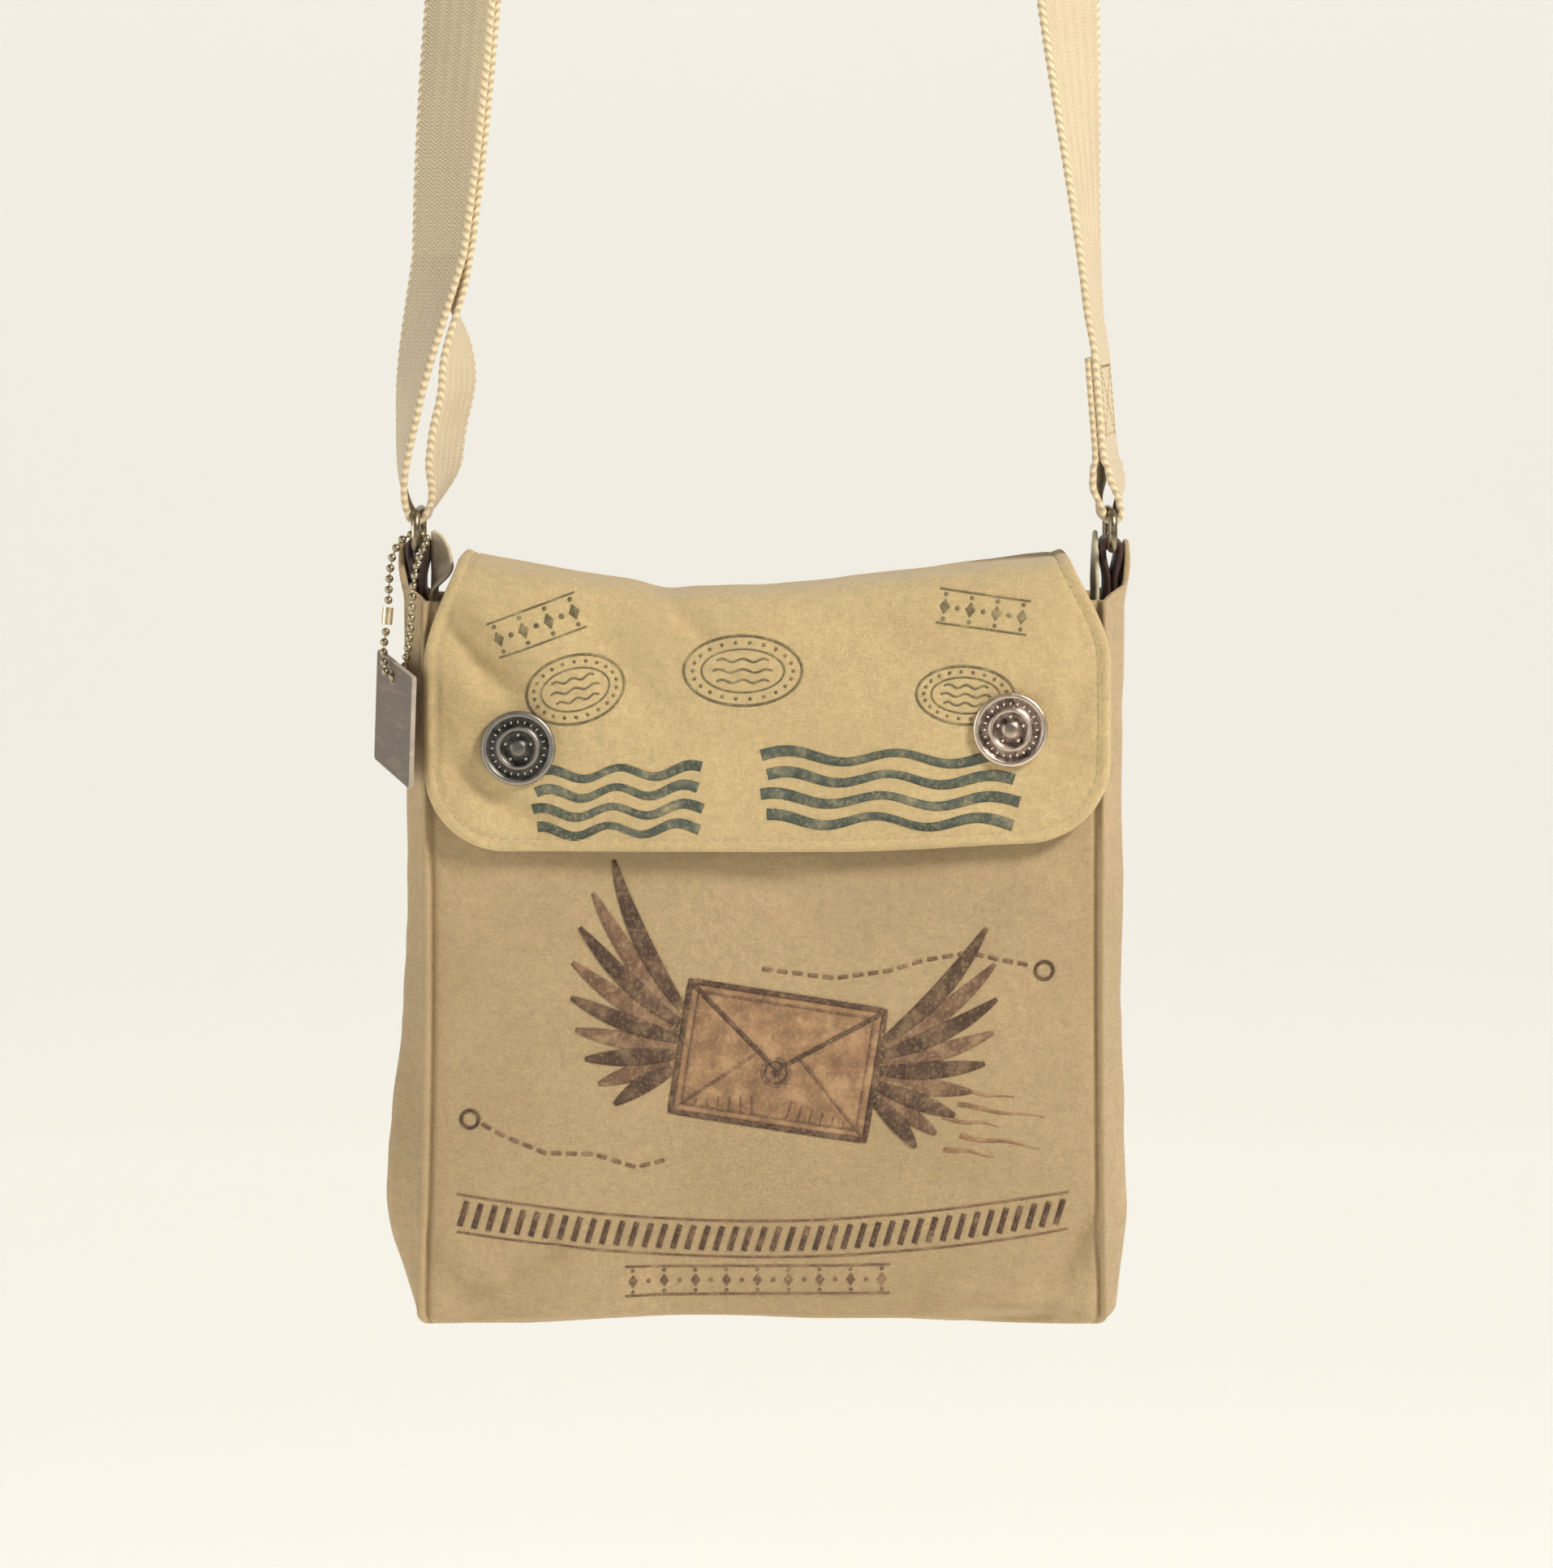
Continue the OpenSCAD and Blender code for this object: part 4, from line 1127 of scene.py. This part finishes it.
def add_ear(bm, node, side, curl):
    """A canvas ear with a round top whose front strip bends inward by the curl, in degrees."""
    low, high = bench_box(node)
    radius = high.y
    middle_x = (low.x + high.x) / 2
    straight = high.z - radius - low.z
    length = straight + radius

    def place(u, v):
        reach = length * v
        past = max(0.0, reach - straight)
        half = math.sqrt(max(0.0, radius * radius - past * past))
        y, z = crowd(u, 1.3) * half, low.z + reach
        bend = math.radians(curl) * ease((z - MOUTH_Z - 2) / 9)
        strip = max(0.0, -1.5 - y)
        y += strip * (1 - math.cos(bend))
        fold = 0.72 * strip * math.sin(bend)
        wave = 0.35 * waver(y, z, 9, 60 + side) * ease((z - MOUTH_Z) / 6)
        edge = min(half * (1 - abs(crowd(u, 1.3))), reach)
        turn = bend if strip > 0 else 0.0
        normal = Vector((math.cos(turn), -side * math.sin(turn), 0))
        return Vector((middle_x - side * (fold + wave), y, z)), normal, edge

    plate(bm, place, 30, 66, high.x - low.x, 0.8)
    chart_flat(bm)


# A cap's outline: radius and height over the flap, from the middle of its face to its underside
CAP_PROFILE = [
    (0.0, 2.25), (1.2, 2.2), (2.1, 2.0), (2.6, 1.45), (3.6, 1.35), (5.0, 1.4), (5.3, 1.95), (5.7, 2.1),
    (6.2, 1.95), (6.5, 1.5), (7.6, 1.42), (8.7, 1.3), (9.0, 1.5), (9.4, 2.0), (9.9, 2.2), (10.5, 2.1),
    (10.9, 1.7), (11.0, 1.1), (10.9, 0.4), (10.4, -0.1), (0.0, -0.1),
]


def add_cap(bm, x, z, ticks):
    """A spun cap with a rolled rim, a raised ring, ticks and a boss."""
    centre = Vector((x, FLAP_Y - 0.35, z))
    line = bmesh.ops.create_grid(bm, x_segments=1, y_segments=len(CAP_PROFILE) - 1, size=1.0)["verts"]
    keep = [v for v in line if v.co.x < 0]
    bmesh.ops.delete(bm, geom=[v for v in line if v.co.x > 0], context="VERTS")
    for vert in keep:
        k = round((vert.co.y + 1) / 2 * (len(CAP_PROFILE) - 1))
        radius, out = CAP_PROFILE[k]
        vert.co = centre + Vector((radius, -out, 0))
    edges = [e for e in bm.edges if e.verts[0] in keep]
    bmesh.ops.spin(bm, geom=keep + edges, cent=centre, axis=(0, 1, 0), angle=2 * math.pi, steps=72,
                   use_merge=True)
    bmesh.ops.remove_doubles(bm, verts=bm.verts, dist=1e-4)
    # Ticks and boss beads: count, start, radius, height, and half sizes along the radius, out and across
    for count, start, reach, out, size in (
        (ticks, 0.0, 7.7, 1.45, (0.55, 0.35, 0.3, 1)),
        (5, 0.25, 3.9, 1.4, (0.5, 0.35, 0.5, 1)),
    ):
        for k in range(count):
            a = 2 * math.pi * (k + start) / count
            spot = centre + Vector((math.cos(a), 0, math.sin(a))) * reach + Vector((0, -out, 0))
            shape = Matrix.Translation(spot) @ Matrix.Rotation(-a, 4, "Y") @ Matrix.Diagonal(size)
            bmesh.ops.create_icosphere(bm, subdivisions=2, radius=1.0, matrix=shape)
    bmesh.ops.recalc_face_normals(bm, faces=bm.faces)


BRASS_NODES = [
    "left_ring", "right_ring", "left_snap_socket", "right_snap_socket", "left_snap_stud",
    "right_snap_stud", "left_snap_post", "right_snap_post", "slider_frame", "slider_bar", "ball_chain",
    "chain_connector",
]


class POUCH_OT_fittings(bpy.types.Operator):
    """Make the leather tabs, canvas ears, snap caps and hang tag and finish the metal"""
    bl_idname = "pouch.fittings"
    bl_label = "Fittings"

    def execute(self, context):
        s = context.scene.pouch_fittings
        for name, side in (("left", -1), ("right", 1)):
            bm = bmesh.new()
            ribbon(bm, measured(tab_places(side)), 20.0, 1.85)
            tab = make_piece(name + "_tab_leather", bm, [finish("tab_leather")])
            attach(tab, "pouch")
            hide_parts(name + "_tab")

            bm = bmesh.new()
            add_ear(bm, name + "_ear", side, s.ear_curl if side < 0 else 0.0)
            # The ears take the lightened canvas, painted light for the shade they sit in.
            ear = make_piece(name + "_ear_canvas_painted_light", bm, [finish("ear_canvas_painted_light")])
            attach(ear, "pouch")
            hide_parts(name + "_ear")
        for name, (x, z), look in (("left", SNAP_SPOTS[0], "gunmetal"), ("right", SNAP_SPOTS[1], "copper")):
            bm = bmesh.new()
            add_cap(bm, x, z, s.ticks)
            cap = make_piece(name + "_cap", bm, [finish(look)])
            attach(cap, "flap_front")
            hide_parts(name + "_snap_cap")
        for name in BRASS_NODES:
            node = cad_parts[name]
            node.data.materials.clear()
            node.data.materials.append(finish("old_brass"))

        bm = bmesh.new()
        bm.from_mesh(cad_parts["hang_tag"].data)
        bmesh.ops.transform(bm, matrix=BENCH.inverted(), verts=bm.verts)
        bmesh.ops.remove_doubles(bm, verts=bm.verts, dist=1e-3)
        sharp = [e for e in bm.edges if e.is_manifold and e.calc_face_angle(0.0) > math.radians(35)]
        bmesh.ops.bevel(bm, geom=sharp, offset=0.3, offset_type="OFFSET", segments=3, profile=0.5,
                        affect="EDGES", material=-1)
        bmesh.ops.recalc_face_normals(bm, faces=bm.faces)
        broad = max(bm.faces, key=lambda f: f.calc_area()).normal.copy()
        # Faces round the rim take the paler edge finish, partly worn leather and partly a painted highlight.
        for face in bm.faces:
            face.material_index = 0 if abs(face.normal.dot(broad)) > 0.99 else 1
        tag = make_piece("tag_leather_piece", bm, [finish("tag_leather"), finish("tag_edge_wear_and_highlight")],
                         smooth=False)
        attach(tag, "tag")
        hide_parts("hang_tag")
        return {"FINISHED"}


# ---------------------------------------------------------------- prints

class PrintSettings(bpy.types.PropertyGroup):
    lift: FloatProperty(
        name="Ink lift", description="Height of the ink over the cloth, in millimetres",
        default=0.12, min=0.05, max=0.4)
    line: FloatProperty(
        name="Line", description="Scale of the printed lines' thickness",
        default=1.0, min=0.5, max=2)


def stroke(bm, points, width, closed=False):
    """A drawn line through (x, z) points; width is one number or one for each point."""
    widths = list(width) if isinstance(width, (list, tuple)) else [width] * len(points)
    if closed:
        points, widths = points + points[:1], widths + widths[:1]
    last = len(points) - 1
    for vert in grid(bm, 1, last):
        k = round((vert.co.y + 1) / 2 * last)
        before = points[k - 1] if k else (points[last - 1] if closed else points[0])
        after = points[k + 1] if k < last else (points[1] if closed else points[last])
        dx, dz = after[0] - before[0], after[1] - before[1]
        half = widths[k] / 2 / (math.hypot(dx, dz) or 1.0)
        x, z = points[k]
        vert.co = (x - dz * half * vert.co.x, 0, z + dx * half * vert.co.x)


def blob(bm, points):
    """A filled outline."""
    made = bmesh.ops.create_circle(bm, cap_ends=True, segments=len(points), radius=1.0)["verts"]
    for vert, (x, z) in zip(made, points):
        vert.co = (x, 0, z)


def oval(x, z, rx, rz, turn=0.0, count=48):
    """Points round an ellipse; four points make a diamond."""
    a = math.radians(turn)
    points = []
    for k in range(count):
        t = 2 * math.pi * k / count
        u, v = rx * math.cos(t), rz * math.sin(t)
        points.append((x + u * math.cos(a) - v * math.sin(a), z + u * math.sin(a) + v * math.cos(a)))
    return points


def along_line(a, b, count):
    """Evenly spaced points from a to b."""
    return [(a[0] + (b[0] - a[0]) * k / count, a[1] + (b[1] - a[1]) * k / count) for k in range(count + 1)]


def spun(origin, turn):
    """Turns local (u, v) about an origin."""
    a = math.radians(turn)
    return lambda u, v: (origin[0] + u * math.cos(a) - v * math.sin(a),
                         origin[1] + u * math.sin(a) + v * math.cos(a))


def border_curve(x):
    """Height of the lower border's rising ends."""
    return 27 + 7 * ((x + 2) / 87) ** 2


def wave_points(place, length, height, turns, rise=0.0, count=36, start=0.0):
    return [
        place(length * (k / count - 0.5), rise + height * math.sin(start + 2 * math.pi * turns * k / count))
        for k in range(count + 1)
    ]


def cloth_tree(piece):
    """Search tree of a piece's faces in the row frame."""
    mesh = piece.data
    return BVHTree.FromPolygons([v.co for v in mesh.vertices], [tuple(p.vertices) for p in mesh.polygons])


def lay_print(name, bm, cloth, ink, lift):
    """Divides flat shapes, drops them on the cloth along +Y and gives them a little body."""
    bmesh.ops.triangulate(bm, faces=[f for f in bm.faces if len(f.verts) > 4])
    for _ in range(6):
        long_edges = [e for e in bm.edges if e.calc_length() > 1.9]
        if not long_edges:
            break
        bmesh.ops.subdivide_edges(bm, edges=long_edges, cuts=1)
        bmesh.ops.triangulate(bm, faces=[f for f in bm.faces if len(f.verts) > 3])
    bench = BENCH.inverted()
    for vert in bm.verts:
        hit = cloth.ray_cast(point(vert.co.x, -90, vert.co.z), Vector((0, 1, 0)))[0]
        if hit is None:
            raise RuntimeError(f"{name} misses the cloth at {tuple(vert.co)}")
        vert.co = bench @ hit - Vector((0, lift, 0))
    bm.normal_update()
    bmesh.ops.reverse_faces(bm, faces=[f for f in bm.faces if f.normal.y > 0])
    bm.normal_update()
    bmesh.ops.solidify(bm, geom=bm.faces[:], thickness=0.08)
    bmesh.ops.recalc_face_normals(bm, faces=bm.faces)
    return make_piece(name, bm, [finish(ink)])


def ornament(bm, origin, turn, count, pitch, size):
    """A short rule of diamonds and dots."""
    place = spun(origin, turn)
    for k in range(count):
        u = (k - (count - 1) / 2) * pitch
        x, z = place(u, 0)
        if k % 2 == 0:
            blob(bm, oval(x, z, size, size * 1.5, turn, 4))
            for v in (-1, 1):
                blob(bm, oval(*place(u, v * size * 2.4), size * 0.42, size * 0.42, 0, 10))
        else:
            blob(bm, oval(x, z, size * 0.5, size * 0.5, 0, 10))
    for v in (-1, 1):
        rule = [place(u, v * size * 3.3) for u in heights(-count * pitch / 2, count * pitch / 2, 1.8)]
        stroke(bm, rule, 0.6)


def postmark(bm, x, z, rx, rz, turn, line):
    """Double oval with dots between the outlines and waves across the middle."""
    stroke(bm, oval(x, z, rx, rz, turn, 64), 0.75 * line, closed=True)
    stroke(bm, oval(x, z, rx * 0.7, rz * 0.62, turn, 48), 0.5 * line, closed=True)
    for px, pz in oval(x, z, rx * 0.85, rz * 0.81, turn, 22):
        blob(bm, oval(px, pz, 0.55, 0.55, 0, 8))
    place = spun((x, z), turn)
    for v in (-0.3, 0.0, 0.3):
        reach = rx * 1.22 * math.sqrt(max(0.1, 0.38 - v * v))
        stroke(bm, wave_points(place, reach * 1.35, 0.5, 2.5, v * rz, 26), 0.6 * line)


def wave_bars(bm, origin, turn, length, count, pitch, thick):
    """Bold wavy bars, one under another."""
    place = spun(origin, turn)
    for k in range(count):
        rise = ((count - 1) / 2 - k) * pitch
        size = length * (1 - 0.05 * (k % 2))
        swell = [thick * (0.86 + 0.14 * math.cos(6.3 * i / 36)) for i in range(37)]
        stroke(bm, wave_points(place, size, 1.5, 2.4, rise, 36, 0.4 * k), swell)


def feather(bm, root, angle, length, width, bend):
    """A tapered, curved stroke."""
    a = math.radians(angle)
    points, widths = [], []
    for k in range(15):
        t = k / 14
        side = bend * t * t
        points.append((root[0] + length * t * math.cos(a) - side * math.sin(a),
                       root[1] + length * t * math.sin(a) + side * math.cos(a)))
        widths.append(width * max(0.12, math.sin(math.pi * (0.12 + 0.84 * t)) ** 0.7))
    stroke(bm, points, widths)


def dashed(bm, stops, width, dash, gap):
    """A dashed route through its stops."""
    line = []
    for a, b in zip(stops, stops[1:]):
        count = max(2, round(math.dist(a, b) / 0.5))
        line += along_line(a, b, count)[:-1]
    step, gone = round(dash / 0.5), round(gap / 0.5)
    for k in range(0, len(line) - step, step + gone):
        stroke(bm, line[k:k + step + 1], width)


def winged_letter(dark, brown, saddle, origin, turn, line):
    """A sealed letter with a wing on each side."""
    place = spun(origin, turn)
    w, h = 29.0, 19.5
    frame_line = along_line((-w, -h), (w, -h), 24)[:-1] + along_line((w, -h), (w, h), 16)[:-1]
    frame_line += along_line((w, h), (-w, h), 24)[:-1] + along_line((-w, h), (-w, -h), 16)[:-1]
    stroke(dark, [place(*p) for p in frame_line], 1.7 * line, closed=True)
    inner = [(u * 0.9, v * 0.86) for u, v in frame_line]
    stroke(brown, [place(*p) for p in inner], 0.8 * line, closed=True)
    blob(saddle, [place(*p) for p in ((-w, -h), (w, -h), (w, h), (-w, h))])
    flap = along_line((-w + 1, h - 1), (0, -2.5), 16)[:-1] + along_line((0, -2.5), (w - 1, h - 1), 16)
    stroke(dark, [place(*p) for p in flap], 1.4 * line)
    for side in (-1, 1):
        fold = along_line((side * (w - 1), -h + 1), (side * 6.5, 1.5), 14)
        stroke(brown, [place(*p) for p in fold], 1.0 * line)
        for k in range(6):
            foot, tip = (side * (5 + 3.4 * k), -h + 2.6), (side * (6 + 3.2 * k), -h + 8.5 - 0.7 * k)
            shade = along_line(foot, tip, 5)
            stroke(brown, [place(*p) for p in shade], 0.55 * line)
    blob(brown, oval(*place(0, -3.4), 4.6, 4.6, 0, 28))
    stroke(dark, oval(*place(0, -3.4), 3.2, 3.2, 0, 22), 0.7, closed=True)
    blob(dark, oval(*place(0, -3.4), 1.5, 1.5, turn, 4))
    for side, spread_by in ((-1, 1.0), (1, 0.92)):
        for k in range(9):
            root = place(side * (w + 1.2), 11 - 2.3 * k)
            lean = turn + (90 - side * 90) + side * (44 - 9.5 * k)
            feather(dark if k % 2 == 0 else brown, root, lean, (47 - 3.4 * k) * spread_by, 5.2,
                    side * (10 - 1.6 * k))
        for k in range(5):
            root = place(side * (w + 1.6), 7.5 - 2.7 * k)
            lean = turn + (90 - side * 90) + side * (40 - 11 * k)
            feather(saddle, root, lean, 27 - 2.6 * k, 2.2, side * 4.0)


def speed_lines(bm, origin, turn):
    """Tapering streaks beside the letter."""
    place = spun(origin, turn)
    for k, (u, v, size) in enumerate(((0, 12, 20), (4, 7.5, 26), (0, 3, 17), (6, -1.5, 24), (2, -6, 15))):
        points = [place(u + size * i / 10, v + 0.4 * math.sin(i * 0.8 + k)) for i in range(11)]
        stroke(bm, points, [1.5 * (1 - 0.085 * i) for i in range(11)])


class POUCH_OT_prints(bpy.types.Operator):
    """Print the postmarks and waves on the flap and the winged letter, routes and rules on the front"""
    bl_idname = "pouch.prints"
    bl_label = "Prints"

    def execute(self, context):
        s = context.scene.pouch_prints
        flap_cloth = cloth_tree(bpy.data.objects["flap"])
        front_cloth = cloth_tree(bpy.data.objects["pouch_shell"])

        olive, green = bmesh.new(), bmesh.new()
        ornament(olive, (-66.5, 208.5), 20, 7, 3.9, 1.6)
        ornament(olive, (64, 212.5), -8, 7, 3.8, 1.5)
        postmark(olive, -55.2, 189.8, 14.5, 10, 14, s.line)
        postmark(olive, -6.2, 195.3, 17.3, 10.2, 0, s.line)
        postmark(olive, 59, 188, 14.5, 8.5, -3, s.line)
        wave_bars(green, (-43, 157), 2, 50, 4, 5.6, 3.0)
        wave_bars(green, (37, 160.5), -1, 76, 4, 6.2, 3.3)
        for name, bm, ink in (("flap_marks", olive, "olive_ink"), ("flap_waves", green, "green_ink")):
            blend_flap(lay_print(name, bm, flap_cloth, ink, s.lift))

        dark, brown, saddle = bmesh.new(), bmesh.new(), bmesh.new()
        winged_letter(dark, brown, saddle, (4, 80), -9, s.line)
        speed_lines(saddle, (52, 60), -9)
        dashed(brown, [(-0.6, 107.2), (20.8, 104.5), (36.5, 106.6), (46.5, 109.6), (60, 112), (79, 108)],
               1.1, 3.0, 1.5)
        stroke(dark, oval(82.5, 106.5, 2.6, 2.6, 0, 20), 1.0, closed=True)
        dashed(brown, [(-83.4, 60.9), (-76.2, 57.1), (-64.8, 52.5), (-50.2, 52.3), (-38, 48.5), (-26, 51.5)],
               1.1, 3.0, 1.5)
        stroke(dark, oval(-86.9, 62.3, 2.6, 2.6, 0, 20), 1.0, closed=True)
        for k in range(43):
            x = -89 + 4.2 * k
            z = border_curve(x)
            stroke(dark, along_line((x - 1.1, z - 3.7), (x + 1.1, z + 3.7), 5), 1.6)
        for edge in (-1, 1):
            rule = [(x, border_curve(x) + edge * 5.6) for x in heights(-91, 90, 1.8)]
            stroke(brown, rule, 0.6)
        ornament(brown, (-2, 14.2), 0.5, 17, 4.6, 1.35)
        layers = (("front_saddle", saddle, "saddle_ink", 0.0), ("front_brown", brown, "brown_ink", 0.06),
                  ("front_dark", dark, "dark_ink", 0.12))
        for name, bm, ink, over in layers:
            piece = lay_print(name, bm, front_cloth, ink, s.lift + over)
            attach(piece, "pouch")
        return {"FINISHED"}


# ---------------------------------------------------------------- stage

class StageSettings(bpy.types.PropertyGroup):
    backdrop: FloatVectorProperty(
        name="Backdrop", description="Colour of the floor and the wall behind", subtype="COLOR",
        default=(0.85, 0.83, 0.77), min=0, max=1)
    distance: FloatProperty(
        name="Distance", description="Camera distance, in metres", default=1.6, min=0.5, max=5)
    elevation: FloatProperty(
        name="Elevation", description="Camera height above the horizon, in degrees",
        default=5.5, min=-10, max=60)
    ambient: FloatProperty(
        name="Ambient", description="Strength of the light from all round", default=0.18, min=0, max=2)
    key: FloatProperty(
        name="Key light", description="Power of the main light, in watts", default=25.0, min=0, max=500)
    fill: FloatProperty(
        name="Fill light", description="Power of the fill light, in watts", default=10.0, min=0, max=200)


def add_light(name, spot, target, size, power, colour):
    lamp = bpy.data.lights.new(name, "AREA")
    lamp.shape = "DISK"
    lamp.size, lamp.energy, lamp.color = size, power, colour
    light = bpy.data.objects.new(name, lamp)
    light.location = spot
    light.rotation_mode = "QUATERNION"
    light.rotation_quaternion = (Vector(target) - Vector(spot)).to_track_quat("-Z", "Y")
    bpy.context.scene.collection.objects.link(light)


class POUCH_OT_stage(bpy.types.Operator):
    """Set the backdrop, the soft lights and the camera"""
    bl_idname = "pouch.stage"
    bl_label = "Stage"

    def execute(self, context):
        s = context.scene.pouch_stage
        bm = bmesh.new()
        floor, wall, bend = -1.05, 4.2, 1.6
        reach, rise = 6, 4
        flat_rows, bend_rows, wall_rows = 14, 16, 10
        rows = flat_rows + bend_rows + wall_rows
        for vert in grid(bm, 2, rows):
            run = (vert.co.y + 1) / 2 * rows
            if run <= flat_rows:
                y, z = -reach + (wall - bend + reach) * run / flat_rows, floor
            elif run <= flat_rows + bend_rows:
                a = (run - flat_rows) / bend_rows * math.pi / 2
                y, z = wall - bend + bend * math.sin(a), floor + bend * (1 - math.cos(a))
            else:
                y, z = wall, floor + bend + (run - flat_rows - bend_rows) / wall_rows * rise
            vert.co = (vert.co.x * reach, y, z)
        mesh = bpy.data.meshes.new("backdrop")
        bm.to_mesh(mesh)
        bm.free()
        mesh.polygons.foreach_set("use_smooth", [True] * len(mesh.polygons))
        mesh.materials.append(finish("backdrop"))
        backdrop = bpy.data.objects.new("backdrop", mesh)
        context.scene.collection.objects.link(backdrop)

        target = Vector((0.0036, -0.027, -0.5025))
        add_light("key", (1.05, -0.8, 0.5), target, 0.45, s.key, (1.0, 0.975, 0.93))
        add_light("fill", (-1.5, -0.55, -0.25), target, 1.2, s.fill, (0.96, 0.98, 1.0))

        world = bpy.data.worlds.new("Studio")
        context.scene.world = world
        world.use_nodes = True
        tree = world.node_tree
        sky = tree.nodes["Background"]
        sky.inputs["Color"].default_value = (0.96, 0.94, 0.88, 1)
        seen = wire(tree, "ShaderNodeLightPath", {})["Is Camera Ray"]
        tree.links.new(spread(tree, seen, 0.0, 1.0, s.ambient, 0.9), sky.inputs["Strength"])

        lens = bpy.data.cameras.new("Camera")
        view_width = 0.46
        lens.lens = lens.sensor_width * s.distance / view_width
        camera = bpy.data.objects.new("Camera", lens)
        context.scene.collection.objects.link(camera)
        a = math.radians(s.elevation)
        back = Vector((0, -math.cos(a), math.sin(a)))
        camera.location = target + back * s.distance
        camera.rotation_mode = "QUATERNION"
        camera.rotation_quaternion = (-back).to_track_quat("-Z", "Y")
        context.scene.camera = camera
        context.scene.view_settings.view_transform = "Standard"
        return {"FINISHED"}


# ---------------------------------------------------------------- panel

GROUPS = {
    "pouch_finishes": FinishSettings, "pouch_body": PouchSettings, "pouch_flap": FlapSettings,
    "pouch_strap": StrapSettings, "pouch_fittings": FittingSettings, "pouch_prints": PrintSettings,
    "pouch_stage": StageSettings,
}
STEPS = [
    ("pouch.finishes", "pouch_finishes"), ("pouch.shell", "pouch_body"), ("pouch.flap", "pouch_flap"),
    ("pouch.strap", "pouch_strap"), ("pouch.fittings", "pouch_fittings"), ("pouch.prints", "pouch_prints"),
    ("pouch.stage", "pouch_stage"),
]


class POUCH_PT_panel(bpy.types.Panel):
    """The pouch's settings and steps"""
    bl_idname = "POUCH_PT_panel"
    bl_label = "Mail pouch"
    bl_space_type = "VIEW_3D"
    bl_region_type = "UI"
    bl_category = "Mail Pouch"

    def draw(self, context):
        for step, group in STEPS:
            box = self.layout.box()
            settings = getattr(context.scene, group)
            for name in type(settings).__annotations__:
                box.prop(settings, name)
            box.operator(step)


CLASSES = list(GROUPS.values()) + [
    POUCH_OT_finishes, POUCH_OT_shell, POUCH_OT_flap, POUCH_OT_strap, POUCH_OT_fittings, POUCH_OT_prints,
    POUCH_OT_stage, POUCH_PT_panel,
]


def register():
    for cls in CLASSES:
        bpy.utils.register_class(cls)
    for name, group in GROUPS.items():
        setattr(bpy.types.Scene, name, PointerProperty(type=group))


def unregister():
    for name in GROUPS:
        delattr(bpy.types.Scene, name)
    for cls in reversed(CLASSES):
        bpy.utils.unregister_class(cls)


def main():
    register()
    bpy.ops.pouch.finishes()
    bpy.ops.pouch.shell()
    bpy.ops.pouch.flap()
    bpy.ops.pouch.strap()
    bpy.ops.pouch.fittings()
    bpy.ops.pouch.prints()
    bpy.ops.pouch.stage()
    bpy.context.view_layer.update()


if __name__ == "__main__":
    main()
